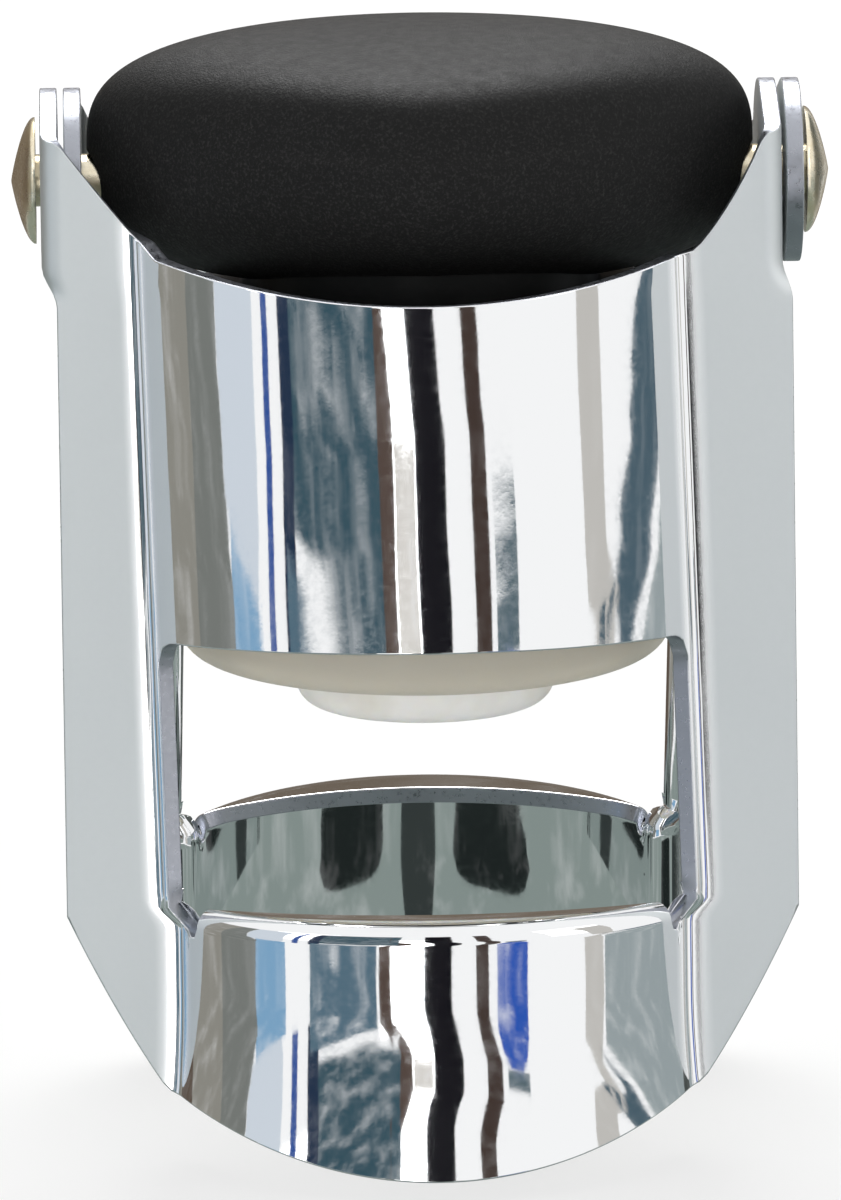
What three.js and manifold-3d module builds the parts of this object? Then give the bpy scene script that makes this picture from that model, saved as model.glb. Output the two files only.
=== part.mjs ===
// A champagne stopper: a black cap with a white seal under it, and two chromed
// sheet-metal wings that swing on one riveted pin and hook under the bottle's lip.
// Millimetres, +Z up. The origin is the middle of the lip that the seal sits on,
// the pin runs along X, and the front wing is on the -Y side.

import * as THREE from 'three';
import { mergeVertices } from 'three/addons/utils/BufferGeometryUtils.js';
import Module from 'manifold-3d';

const wasm = await Module();
wasm.setup();

// Clearances
const fitGap = 0.3;
const earGap = 0.35;
const cutOverrun = 4;
const mergeTolerance = 0.00001;

// Pin: one long rivet with a domed head at both ends
const pivotHeight = 27.8;
const pinRadius = 1.5;
const headRadius = 3.65;
const headHeight = 1.4;

// Cap: a long rounded pebble that lies across the wings
const capHalfLength = 19.15;
const capHalfDepth = 14.6;
const capWidestRise = 1.7;
const capCrown = 7.05;
const capBelly = 7.6;
const capUndersideDrop = 5.8;
const capEndShoulderShare = 0.38;
const capEndFullnessShare = 0.21;
const capCrownPower = 3;
const capBellyPower = 2.75;
const capSectionPower = 2.2;

// Carrier: the moulded body between the cap and the seal
const carrierRadius = 13.2;
const carrierWall = 2;
const carrierFloor = 2.6;
const spigotRadius = 10.2;
const spigotRise = 4.2;
const pegRadius = 2.6;
const pegHeadRadius = 3.8;
const pegHeadHeight = 1.8;
const pegLength = 5.2;

// Seal: a soft disc with a round nose that drops into the bottle's mouth
const sealRadius = 14.3;
const sealHeight = 6.3;
const sealLowerRound = 1.7;
const sealUpperRound = 0.6;
const noseRadius = 7.5;
const noseDepth = 3.1;
const noseRound = 1.3;
const noseFillet = 0.9;

// Wings: stamped sheet, both alike, the rear one turned half round
const sheet = 1;
const frontRestTilt = THREE.MathUtils.degToRad(6.5);
const rearRestTilt = THREE.MathUtils.degToRad(4.5);
const earRadius = 5.3;
const flangeDepth = 7.6;
const flangeHalfWidth = 20.95;
const webTop = 2.6;
const webDrop = 4.6;
const edgeStepDrop = 2.2;
const necklineMidDrop = 6.3;
const necklineSideDrop = 4;
const necklineHalfWidth = 15.4;
const shoulderHalfWidth = 17.6;
const shoulderDrop = 1.6;
const bottomDrop = 56.1;
const collarEdgeRadius = 30;
const collarEdgeHalfWidth = 15.4;
const cornerDrop = 41.7;
const cornerBow = 0.9;

// Channel: the half-round trough of each wing
const channelTopRadius = 17.15;
const channelMidRadius = 17.15;
const channelLowRadius = 17.2;
const channelMidDrop = 22;
const channelLean = THREE.MathUtils.degToRad(1.5);
const windowTopDrop = 25.9;
const windowCorner = 1.2;
const stripProud = 0.6;

// Collar: the lower end of the channel, with the inward lip that hooks under the bottle's lip
const collarRadius = 16.35;
const collarStraight = 4.8;
const collarFlareRadius = 17.15;
const lipDrop = 41.2;
const lipReach = 12.9;
const lipCurveRadius = 22;
const lipShoulder = 0.9;
const notchDepth = 1.3;
const notchWidth = 2.4;
const tabHalfWidth = 13.6;
const tabCorner = 1.2;

// Facets
const roundSegments = 36;
const channelSegments = 60;
const capSegmentsAround = 36;
const capSegmentsAlong = 26;
const curveSegments = 10;
const cornerSegments = 4;

// Places that follow from the sizes above
const innerEarNear = capHalfLength + fitGap;
const innerEarFar = innerEarNear + sheet;
const outerEarNear = innerEarFar + earGap;
const outerEarFar = outerEarNear + sheet;
const headSeat = outerEarFar + fitGap;
const pinEnd = headSeat + headHeight;
const boreRadius = pinRadius + fitGap;
const capUnderside = pivotHeight - capUndersideDrop;
const carrierBottom = sealHeight + fitGap;
const carrierShoulder = capUnderside - fitGap;
const spigotTop = pivotHeight + spigotRise;
const notchDrop = lipDrop + notchDepth;
const windowHalfWidth = tabHalfWidth + notchWidth;
const collarWaistDrop = lipDrop + collarStraight;
const collarEdgeAngle = Math.asin(collarEdgeHalfWidth / collarEdgeRadius);
const collarEdgeDrop = bottomDrop - collarEdgeRadius * (1 - Math.cos(collarEdgeAngle));

// A closed solid from a geometry
function solidOf(geometry) {
  const bare = geometry.index ? geometry.clone() : geometry;
  bare.deleteAttribute('normal');
  bare.deleteAttribute('uv');
  const merged = mergeVertices(bare, mergeTolerance);
  const source = merged.index.array;
  const triangles = [];
  for (let i = 0; i < source.length; i += 3) {
    const [a, b, c] = [source[i], source[i + 1], source[i + 2]];
    if (a !== b && b !== c && a !== c) triangles.push(a, b, c);
  }
  return new wasm.Manifold(new wasm.Mesh({
    numProp: 3,
    vertProperties: Float32Array.from(merged.attributes.position.array),
    triVerts: Uint32Array.from(triangles),
  }));
}

// The geometry of a finished solid
function geometryOf(solid) {
  const found = solid.getMesh();
  const geometry = new THREE.BufferGeometry();
  geometry.setAttribute('position', new THREE.BufferAttribute(found.vertProperties, 3));
  geometry.setIndex(new THREE.BufferAttribute(found.triVerts, 1));
  geometry.computeVertexNormals();
  return geometry;
}

// A solid turned about Z from points given as [radius, height]
function turned(points, segments = roundSegments) {
  const profile = points.map(([radius, height]) => new THREE.Vector2(radius, height));
  const geometry = new THREE.LatheGeometry(profile, segments);
  return solidOf(geometry.rotateX(Math.PI / 2));
}

// A quarter round between two points of a profile, as a list of points
function roundCorner(fromAngle, toAngle, centre, radius) {
  const points = [];
  for (let step = 0; step <= cornerSegments; step += 1) {
    const angle = THREE.MathUtils.lerp(fromAngle, toAngle, step / cornerSegments);
    points.push([centre[0] + radius * Math.cos(angle), centre[1] + radius * Math.sin(angle)]);
  }
  return points;
}

// A cylinder along X through the pin's line, in a wing's own frame or at a height
function crossBore(radius, halfLength, height) {
  const bore = new THREE.CylinderGeometry(radius, radius, halfLength * 2, roundSegments);
  return solidOf(bore.rotateZ(Math.PI / 2).translate(0, 0, height));
}

// A shape drawn in the front view (x, z), reaching from one depth to another on the -Y side
function frontPrism(shape, nearDepth, farDepth) {
  const geometry = new THREE.ExtrudeGeometry(shape, {
    depth: farDepth - nearDepth,
    bevelEnabled: false,
    curveSegments,
  });
  return solidOf(geometry.rotateX(Math.PI / 2).translate(0, -nearDepth, 0));
}

// Pin

function pinSolid() {
  const domeRadius = (headRadius ** 2 + headHeight ** 2) / (headHeight * 2);
  const domeCentre = pinEnd - domeRadius;
  const half = [];
  for (let step = 0; step <= cornerSegments * 2; step += 1) {
    const share = step / (cornerSegments * 2);
    const radius = headRadius * Math.sin((share * Math.PI) / 2);
    half.push([radius, domeCentre + Math.sqrt(domeRadius ** 2 - radius ** 2)]);
  }
  half.push([pinRadius, headSeat]);
  const other = half.map(([radius, height]) => [radius, -height]);
  const profile = [...other, ...half.reverse()];
  const lathe = new THREE.LatheGeometry(
    profile.map(([radius, height]) => new THREE.Vector2(radius, height)),
    roundSegments,
  );
  return solidOf(lathe.rotateZ(Math.PI / 2).translate(0, 0, pivotHeight));
}

// Cap

// Each ring of the pebble has its own half depth, crown and belly
function capBlank() {
  const plan = new THREE.CubicBezierCurve(
    new THREE.Vector2(0, capHalfDepth),
    new THREE.Vector2(capHalfLength * capEndShoulderShare, capHalfDepth),
    new THREE.Vector2(capHalfLength, capHalfDepth * capEndFullnessShare),
    new THREE.Vector2(capHalfLength, 0),
  );
  const fall = (along, power) => (1 - Math.min(along / capHalfLength, 1) ** power) ** (1 / power);
  const geometry = new THREE.SphereGeometry(1, capSegmentsAround, capSegmentsAlong);
  geometry.rotateZ(Math.PI / 2);
  const position = geometry.attributes.position;
  for (let i = 0; i < position.count; i += 1) {
    const x = THREE.MathUtils.clamp(position.getX(i), -1, 1);
    const side = Math.sign(x);
    const place = plan.getPoint(Math.abs(Math.asin(x)) / (Math.PI / 2));
    const around = Math.atan2(position.getZ(i), position.getY(i));
    const depthShare = Math.sign(Math.cos(around)) * Math.abs(Math.cos(around)) ** (2 / capSectionPower);
    const heightShare = Math.abs(Math.sin(around)) ** (2 / capSectionPower);
    const up = Math.sin(around) > 0;
    const reach = up ? capCrown * fall(place.x, capCrownPower) : -capBelly * fall(place.x, capBellyPower);
    position.setXYZ(i, side * place.x, place.y * depthShare, reach * heightShare);
  }
  return solidOf(geometry.translate(0, 0, pivotHeight + capWidestRise));
}

function capSolid() {
  const floor = new THREE.BoxGeometry(capHalfLength * 3, capHalfDepth * 3, capBelly * 2);
  const belowUnderside = solidOf(floor.translate(0, 0, capUnderside - capBelly));
  const pocket = turned([
    [0, capUnderside - cutOverrun],
    [spigotRadius + fitGap, capUnderside - cutOverrun],
    [spigotRadius + fitGap, spigotTop + fitGap],
    [0, spigotTop + fitGap],
  ]);
  return capBlank()
    .subtract(belowUnderside)
    .subtract(pocket)
    .subtract(crossBore(boreRadius, pinEnd, pivotHeight));
}

// Carrier

function carrierSolid() {
  const cavityRadius = carrierRadius - carrierWall;
  const throatRadius = spigotRadius - carrierWall;
  const cavityFloor = carrierBottom + carrierFloor;
  const cavityRoof = carrierShoulder - carrierWall;
  const pegBottom = carrierBottom - pegLength;
  const body = turned([
    [0, pegBottom],
    [pegRadius, pegBottom],
    [pegHeadRadius, pegBottom + pegHeadHeight / 2],
    [pegHeadRadius, pegBottom + pegHeadHeight],
    [pegRadius, pegBottom + pegHeadHeight],
    [pegRadius, carrierBottom],
    [carrierRadius, carrierBottom],
    [carrierRadius, carrierShoulder],
    [spigotRadius, carrierShoulder],
    [spigotRadius, spigotTop],
    [throatRadius, spigotTop],
    [throatRadius, cavityRoof],
    [cavityRadius, cavityRoof],
    [cavityRadius, cavityFloor],
    [0, cavityFloor],
  ]);
  return body.subtract(crossBore(boreRadius, carrierRadius, pivotHeight));
}

// Seal

function sealSolid() {
  const pegBottom = carrierBottom - pegLength - fitGap;
  const barb = pegBottom + pegHeadHeight + fitGap * 2;
  const quarter = Math.PI / 2;
  return turned([
    [0, -noseDepth],
    ...roundCorner(-quarter, 0, [noseRadius - noseRound, noseRound - noseDepth], noseRound),
    ...roundCorner(Math.PI, quarter, [noseRadius + noseFillet, -noseFillet], noseFillet),
    ...roundCorner(-quarter, 0, [sealRadius - sealLowerRound, sealLowerRound], sealLowerRound),
    ...roundCorner(0, quarter, [sealRadius - sealUpperRound, sealHeight - sealUpperRound], sealUpperRound),
    [pegRadius + fitGap, sealHeight],
    [pegRadius + fitGap, barb],
    [pegHeadRadius + fitGap, barb],
    [pegHeadRadius + fitGap, pegBottom],
    [0, pegBottom],
  ]);
}

// Wings, drawn with the pin's line at the origin and closed straight down

// The wing's outline in the front view, with the outer ear on the left
function wingOutline() {
  const quarter = Math.PI / 2;
  const bowWidth = (flangeHalfWidth + collarEdgeHalfWidth) / 2;
  const bowHeight = -(cornerDrop + collarEdgeDrop) / 2 - cornerBow;
  const sideDrop = -necklineSideDrop;
  const middle = necklineSideDrop - necklineMidDrop * 2;
  const outline = new THREE.Shape();
  outline.moveTo(-outerEarFar, webTop);
  outline.lineTo(-outerEarFar, -webDrop);
  outline.quadraticCurveTo(-flangeHalfWidth, -webDrop, -flangeHalfWidth, -webDrop - edgeStepDrop);
  outline.lineTo(-flangeHalfWidth, -cornerDrop);
  outline.quadraticCurveTo(-bowWidth, bowHeight, -collarEdgeHalfWidth, -collarEdgeDrop);
  outline.absarc(0, collarEdgeRadius - bottomDrop, collarEdgeRadius, -quarter - collarEdgeAngle, -quarter + collarEdgeAngle, false);
  outline.quadraticCurveTo(bowWidth, bowHeight, flangeHalfWidth, -cornerDrop);
  outline.lineTo(flangeHalfWidth, -webDrop - edgeStepDrop);
  outline.quadraticCurveTo(innerEarFar, -webDrop, innerEarFar, -webDrop + edgeStepDrop);
  outline.lineTo(innerEarFar, webTop);
  outline.lineTo(innerEarNear, webTop);
  outline.quadraticCurveTo(shoulderHalfWidth, -shoulderDrop, necklineHalfWidth, sideDrop);
  outline.quadraticCurveTo(0, middle, -necklineHalfWidth, sideDrop);
  outline.quadraticCurveTo(-shoulderHalfWidth, -shoulderDrop, -outerEarNear, webTop);
  outline.closePath();
  return outline;
}

// One ear: a round end on a web that runs forward into the flange
function earSolid(fromX, toX) {
  const shape = new THREE.Shape();
  const topAngle = Math.PI - Math.acos(earRadius / Math.hypot(flangeDepth, webTop)) - Math.atan2(webTop, flangeDepth);
  shape.moveTo(-flangeDepth, webTop);
  shape.lineTo(-flangeDepth, -webDrop);
  shape.lineTo(0, -earRadius);
  shape.absarc(0, 0, earRadius, -Math.PI / 2, topAngle, false);
  shape.closePath();
  const geometry = new THREE.ExtrudeGeometry(shape, {
    depth: toX - fromX,
    bevelEnabled: false,
    curveSegments: curveSegments * 2,
  });
  // Shape x runs along Y and shape y along Z, and the depth along X
  geometry.rotateX(Math.PI / 2).rotateZ(Math.PI / 2).translate(fromX, 0, 0);
  return solidOf(geometry);
}

// The trough's wall as a solid of revolution, out to the sheet's outside or its inside
function troughSolid(inset) {
  const curve = new THREE.QuadraticBezierCurve(
    new THREE.Vector2(channelTopRadius - inset, webTop),
    new THREE.Vector2(channelMidRadius - inset, -channelMidDrop),
    new THREE.Vector2(channelLowRadius - inset, -notchDrop),
  );
  const points = curve.getPoints(cornerSegments).map((point) => [point.x, point.y]);
  const leanAbout = new THREE.Matrix4().makeTranslation(0, 0, -notchDrop)
    .multiply(new THREE.Matrix4().makeRotationY(-channelLean))
    .multiply(new THREE.Matrix4().makeTranslation(0, 0, notchDrop));
  const profile = [[0, webTop], ...points, [0, -notchDrop]].reverse();
  const lathe = new THREE.LatheGeometry(
    profile.map(([radius, height]) => new THREE.Vector2(radius, height)),
    channelSegments,
  );
  return solidOf(lathe.rotateX(Math.PI / 2).applyMatrix4(leanAbout));
}

// The collar's wall, which draws in at the top as a rounded shoulder and flares at the bottom
function collarSolid(inset, top, shoulder) {
  const flare = new THREE.QuadraticBezierCurve(
    new THREE.Vector2(collarRadius - inset, -collarWaistDrop),
    new THREE.Vector2(collarRadius - inset, (-collarWaistDrop - bottomDrop) / 2),
    new THREE.Vector2(collarFlareRadius - inset, -bottomDrop - sheet),
  );
  const down = flare.getPoints(cornerSegments).map((point) => [point.x, point.y]);
  const radius = collarRadius - inset;
  const corner = shoulder > 0
    ? roundCorner(0, Math.PI / 2, [radius - shoulder, top - shoulder], shoulder)
    : [[radius, top]];
  return turned([
    [0, -bottomDrop - sheet],
    ...down.reverse(),
    ...corner,
    [0, top],
  ], channelSegments);
}

function wingSolid() {
  const outline = wingOutline();
  const deep = channelTopRadius + cutOverrun;
  const inner = flangeDepth - sheet;

  // The window runs from side to side of the trough, and its cut edges stand proud of the flange
  const windowShape = new THREE.Shape();
  windowShape.moveTo(-windowHalfWidth, -notchDrop - sheet);
  windowShape.lineTo(windowHalfWidth, -notchDrop - sheet);
  windowShape.lineTo(windowHalfWidth, -windowTopDrop - windowCorner);
  windowShape.absarc(
    windowHalfWidth - windowCorner, -windowTopDrop - windowCorner, windowCorner,
    0, Math.PI / 2, false,
  );
  windowShape.absarc(
    windowCorner - windowHalfWidth, -windowTopDrop - windowCorner, windowCorner,
    Math.PI / 2, Math.PI, false,
  );
  windowShape.closePath();
  const window = frontPrism(windowShape, flangeDepth + stripProud, deep);

  // Relief notches at both ends of the collar's lip
  const notches = [-1, 1].map((side) => {
    const notch = new THREE.Shape();
    notch.moveTo(side * tabHalfWidth, -notchDrop + notchWidth / 2);
    notch.quadraticCurveTo(
      side * tabHalfWidth, -lipDrop,
      side * (tabHalfWidth - tabCorner), -lipDrop + tabCorner,
    );
    notch.lineTo(side * windowHalfWidth, -lipDrop + tabCorner);
    notch.lineTo(side * windowHalfWidth, -notchDrop + notchWidth / 2);
    notch.absarc(
      side * (tabHalfWidth + notchWidth / 2), -notchDrop + notchWidth / 2, notchWidth / 2,
      side > 0 ? 0 : Math.PI, side > 0 ? -Math.PI : Math.PI * 2, side > 0,
    );
    return frontPrism(notch, flangeDepth + stripProud, deep);
  });

  // What lies inside the collar's lip
  const lipCut = new THREE.CylinderGeometry(lipCurveRadius, lipCurveRadius, sheet * 3, channelSegments * 2);
  lipCut.rotateX(Math.PI / 2).translate(0, lipCurveRadius - lipReach, -lipDrop - sheet / 2);
  const hollow = collarSolid(sheet, -lipDrop - sheet, 0);
  const throat = turned([
    [0, -lipDrop - sheet * 2],
    [collarRadius - sheet, -lipDrop - sheet * 2],
    [collarRadius - sheet, -lipDrop + sheet],
    [0, -lipDrop + sheet],
  ], channelSegments).intersect(solidOf(lipCut));

  const body = frontPrism(outline, inner, deep);
  const trough = troughSolid(0).intersect(body).subtract(window);
  const collar = collarSolid(0, -lipDrop, lipShoulder).intersect(body)
    .subtract(notches[0])
    .subtract(notches[1]);
  const earBores = crossBore(boreRadius, pinEnd, 0);
  return frontPrism(outline, inner, flangeDepth)
    .add(trough)
    .add(collar)
    .subtract(troughSolid(sheet))
    .subtract(hollow)
    .subtract(throat)
    .add(earSolid(-outerEarFar, -outerEarNear))
    .add(earSolid(innerEarNear, innerEarFar))
    .subtract(earBores);
}

// Materials

const blackPlastic = new THREE.MeshStandardMaterial({ color: 0x2e2f30, roughness: 0.55, metalness: 0 });
const carrierPlastic = new THREE.MeshStandardMaterial({ color: 0x1f2021, roughness: 0.5, metalness: 0 });
const sealRubber = new THREE.MeshStandardMaterial({ color: 0xe6e3d8, roughness: 0.45, metalness: 0 });
const chrome = new THREE.MeshStandardMaterial({ color: 0xdfe3e4, roughness: 0.06, metalness: 1 });
const rearChrome = new THREE.MeshStandardMaterial({ color: 0xdce0e1, roughness: 0.06, metalness: 1 });
const nickelledBrass = new THREE.MeshStandardMaterial({ color: 0xc9c0ac, roughness: 0.25, metalness: 1 });

function piece(name, solid, material) {
  const mesh = new THREE.Mesh(geometryOf(solid), material);
  mesh.name = name;
  return mesh;
}

// A wing hangs from the pin, turned about Z to its side and tilted outward to its rest
function hungWing(name, material, turn, restTilt) {
  const wing = piece(name, wingSolid(), material);
  wing.rotation.x = -restTilt;
  const side = new THREE.Group();
  side.position.z = pivotHeight;
  side.rotation.z = turn;
  side.add(wing);
  return side;
}

const stopper = new THREE.Group();
stopper.add(piece('cap', capSolid(), blackPlastic));
stopper.add(piece('carrier', carrierSolid(), carrierPlastic));
stopper.add(piece('seal', sealSolid(), sealRubber));
stopper.add(piece('rivet_pin', pinSolid(), nickelledBrass));
stopper.add(hungWing('front_wing', chrome, 0, frontRestTilt));
stopper.add(hungWing('rear_wing', rearChrome, Math.PI, rearRestTilt));

export default stopper;
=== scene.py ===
from math import acos, asin, atan2, cos, pi, radians, sin, sqrt, tan

import bmesh
import bpy
from bpy.props import FloatProperty, FloatVectorProperty, PointerProperty
from mathutils import Matrix, Vector


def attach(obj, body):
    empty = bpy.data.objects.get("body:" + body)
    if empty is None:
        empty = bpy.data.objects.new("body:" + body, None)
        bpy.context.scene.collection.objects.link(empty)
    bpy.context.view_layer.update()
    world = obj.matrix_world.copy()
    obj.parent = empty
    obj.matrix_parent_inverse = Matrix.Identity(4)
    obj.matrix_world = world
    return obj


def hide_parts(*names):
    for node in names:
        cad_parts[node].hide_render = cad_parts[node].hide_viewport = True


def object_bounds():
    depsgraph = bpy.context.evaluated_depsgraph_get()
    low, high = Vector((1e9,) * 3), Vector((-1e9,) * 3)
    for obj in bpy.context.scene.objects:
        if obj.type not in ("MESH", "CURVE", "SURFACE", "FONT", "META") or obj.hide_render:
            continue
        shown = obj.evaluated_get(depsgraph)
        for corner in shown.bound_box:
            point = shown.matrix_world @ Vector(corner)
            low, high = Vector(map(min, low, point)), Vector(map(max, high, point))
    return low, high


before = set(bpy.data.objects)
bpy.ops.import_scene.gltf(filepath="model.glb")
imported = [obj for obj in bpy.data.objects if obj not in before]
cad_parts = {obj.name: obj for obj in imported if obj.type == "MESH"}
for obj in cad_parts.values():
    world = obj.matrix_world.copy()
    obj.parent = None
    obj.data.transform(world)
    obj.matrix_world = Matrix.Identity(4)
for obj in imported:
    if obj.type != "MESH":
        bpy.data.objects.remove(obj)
cad_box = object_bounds()

bl_info = {
    "name": "Champagne stopper",
    "version": (1, 0, 0),
    "blender": (4, 5, 0),
    "location": "View3D > Sidebar > Stopper",
    "description": "Dresses a champagne stopper's CAD frame: cap, carrier, seal, rivet and two wings",
    "category": "Add Mesh",
}


# Properties

MM = 0.001


def linear(code):
    """An sRGB hex colour as the linear values that the shaders use."""
    channels = [int(code[start:start + 2], 16) / 255 for start in (1, 3, 5)]
    return tuple(
        channel / 12.92 if channel <= 0.04045 else ((channel + 0.055) / 1.055) ** 2.4
        for channel in channels
    ) + (1.0,)


def size(name, millimetres, description):
    """A length whose default is written in millimetres."""
    return FloatProperty(
        name=name, description=description, default=millimetres / 1000,
        subtype="DISTANCE", unit="LENGTH", precision=5,
    )


def turn(name, degrees, description):
    """An angle whose default is written in degrees."""
    return FloatProperty(
        name=name, description=description, default=radians(degrees),
        subtype="ANGLE", unit="ROTATION",
    )


def share(name, value, description):
    """A plain number without a unit."""
    return FloatProperty(name=name, description=description, default=value)


def tint(name, code, description):
    """A colour whose default is written as sRGB hex."""
    return FloatVectorProperty(
        name=name, description=description, default=linear(code),
        size=4, subtype="COLOR", min=0.0, max=1.0,
    )


class CapSizes(bpy.types.PropertyGroup):
    """The rounded cap that the palm presses on."""

    half_length: size("Half length", 19.15, "From the middle to the tip of an end, along the pin")
    half_depth: size("Half depth", 14.6, "From the middle to the front, seen from above")
    centre_height: size("Centre height", 29.5, "Height of the widest section above the lip")
    crown: size("Crown", 7.05, "How far the top rises above the widest section")
    belly: size("Belly", 7.6, "How far the underside drops below the widest section")
    underside: size("Underside", 22.0, "Height of the flat underside above the lip")
    shoulder_share: share("Shoulder share", 0.38, "How far the plan stays at its full depth")
    fullness_share: share("End fullness", 0.21, "How full the plan is at its tips")
    crown_power: share("Crown power", 3.0, "How full the top looks from the front")
    belly_power: share("Belly power", 3.2, "How full the underside looks from the front")
    end_power: share("Section power", 2.2, "How square the section is at the ends and below")
    crease_power: share("Crease power", 15.0, "How crisp the soft crease round the top is")
    dome_bow: share("Dome bow", 0.3, "How much the top falls from its middle to the crease")
    wall_bow: share("Wall bow", 0.2, "How much the front leans in from its widest line to the crease")
    ledge_depth: size("Ledge depth", 0.26, "How far the front steps in above the mould's parting line")
    ledge_rise: size("Ledge rise", 1.5, "Height of that line above the widest section")
    ledge_half_length: size("Ledge half length", 9.5, "Half the length of that line")
    pocket_radius: size("Pocket radius", 10.5, "The pocket that takes the carrier's spigot")
    pocket_top: size("Pocket top", 32.3, "Height of the pocket's roof above the lip")
    grain: size("Grain", 0.17, "Size of one speck of the moulded grain")
    grain_depth: size("Grain depth", 0.05, "Depth of the moulded grain")
    roughness: share("Roughness", 0.52, "How matt the moulded surface is")


class CarrierSizes(bpy.types.PropertyGroup):
    """The moulded body between the cap and the seal."""

    radius: size("Radius", 13.2, "Outside radius")
    wall: size("Wall", 2.0, "Wall thickness")
    bottom: size("Bottom", 6.6, "Height of its underside above the lip")
    floor: size("Floor", 2.6, "Thickness of its floor")
    shoulder: size("Shoulder", 21.7, "Height of its shoulder above the lip")
    spigot_radius: size("Spigot radius", 10.2, "Radius of the spigot in the cap")
    spigot_top: size("Spigot top", 32.0, "Height of the spigot's rim above the lip")
    peg_radius: size("Peg radius", 2.6, "Radius of the peg through the seal")
    barb_radius: size("Barb radius", 3.8, "Radius of the peg's barb")
    barb_height: size("Barb height", 1.8, "Height of the peg's barb")
    peg_length: size("Peg length", 5.2, "How far the peg reaches into the seal")
    edge: size("Edge", 0.35, "Radius of its moulded edges")
    grain: size("Grain", 0.6, "Size of one speck of the moulded grain")
    grain_depth: size("Grain depth", 0.015, "Depth of the moulded grain")
    roughness: share("Roughness", 0.42, "How matt the moulded surface is")


class SealSizes(bpy.types.PropertyGroup):
    """The soft seal that covers the bottle's lip."""

    radius: size("Radius", 14.3, "Outside radius")
    height: size("Height", 6.3, "Height above the lip")
    lower_round: size("Lower round", 1.7, "Radius of the outer lower edge")
    upper_round: size("Upper round", 0.6, "Radius of the outer upper edge")
    nose_radius: size("Nose radius", 7.5, "Radius of the nose in the bottle's mouth")
    nose_depth: size("Nose depth", 3.1, "How far the nose drops below the lip")
    nose_round: size("Nose round", 1.3, "Radius of the nose's lower edge")
    nose_fillet: size("Nose fillet", 0.9, "Radius where the nose meets the seal")
    clearance: size("Clearance", 0.3, "Room around the peg")


class RivetSizes(bpy.types.PropertyGroup):
    """The long rivet that everything swings on."""

    shank_radius: size("Shank radius", 1.5, "Radius of the shank")
    head_radius: size("Head radius", 3.65, "Radius of a head")
    head_height: size("Head height", 1.4, "Height of a head's dome")
    head_seat: size("Head seat", 22.1, "From the middle to the flat underside of a head")
    bore_radius: size("Bore radius", 1.8, "Radius of the bores that it runs in")
    pivot_height: size("Pivot height", 27.8, "Height of its line above the lip")


class WingSizes(bpy.types.PropertyGroup):
    """A pressed wing, drawn hanging straight down from the rivet's line."""

    sheet: size("Sheet", 1.0, "Thickness of the sheet")
    front_tilt: turn("Front tilt", 6.5, "How far the front wing hangs outward at rest")
    rear_tilt: turn("Rear tilt", 4.5, "How far the rear wing hangs outward at rest")
    ear_radius: size("Ear radius", 5.3, "Radius of an ear's round end")
    outer_ear: size("Outer ear", 21.8, "Outside of the ear that lies under a rivet's head")
    inner_ear: size("Inner ear", 20.45, "Outside of the ear that lies next to the cap")
    bend_radius: size("Bend radius", 1.2, "Outside radius of the bend from flange to ear")
    flange_depth: size("Flange depth", 7.6, "From the rivet's line forward to the flanges")
    flange_half_width: size("Flange half width", 20.95, "From the middle to a flange's outer edge")
    web_top: size("Web top", 2.6, "Top of the bend, above the rivet's line")
    web_drop: size("Web drop", 4.6, "Lower end of the ear's web")
    step_drop: size("Step drop", 2.2, "Length over which the ear's bend runs out")
    neck_middle: size("Neck middle", 6.3, "Drop of the upper edge at the middle")
    neck_side: size("Neck side", 4.0, "Drop of the upper edge where it turns up")
    neck_half_width: size("Neck half width", 15.4, "Half width of the upper edge's wide arc")
    shoulder_half_width: size("Shoulder half width", 17.6, "Where the upper edge turns up to the ear")
    shoulder_drop: size("Shoulder drop", 1.6, "Drop of that turn")
    bottom_drop: size("Bottom drop", 55.95, "Drop of the lowest point")
    collar_edge_radius: size("Collar edge radius", 30.0, "Radius of the lower edge under the collar")
    collar_edge_half_width: size("Collar edge half width", 15.4, "Where that arc ends on each side")
    corner_drop: size("Corner drop", 41.7, "Drop of a flange's outer corner")
    corner_bow: size("Corner bow", 0.9, "How far a slanted edge bows out of a straight line")
    trough_radius: size("Trough radius", 17.15, "Outside radius of the half-round trough")
    trough_low_radius: size("Trough radius, low", 17.2, "The same at the window's foot")
    trough_lean: turn("Trough lean", 1.5, "How far the trough's line leans sideways")
    fold_radius: size("Fold radius", 0.7, "Radius of the fold from flange to trough")
    window_top: size("Window top", 25.9, "Drop of the window's upper edge")
    window_corner: size("Window corner", 1.2, "Radius of the window's upper corners")
    strip_proud: size("Strip proud", 0.6, "How far the window's side edges stand out of the flange")
    collar_radius: size("Collar radius", 16.35, "Outside radius of the collar")
    collar_gather: size("Collar gather", 1.3, "Height over which the trough narrows to the collar")
    collar_waist: size("Collar waist", 46.0, "Drop where the collar starts to flare")
    collar_flare: size("Collar flare", 0.8, "How far the collar flares at its foot")
    lip_drop: size("Lip drop", 41.2, "Drop of the inward lip's upper face")
    lip_reach: size("Lip reach", 12.9, "Distance of the lip's edge from the middle")
    lip_curve: size("Lip curve", 22.0, "Radius of the lip's edge, seen from above")
    lip_round: size("Lip round", 1.15, "Outside radius where the lip turns into the collar")
    tab_half_width: size("Tab half width", 13.6, "Half width of the collar's tab")
    notch_bottom: size("Notch bottom", 42.8, "Drop of the relief notches' bottoms")
    edge_round: size("Edge round", 0.1, "Rounding of the sheet's sheared edges")


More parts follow.
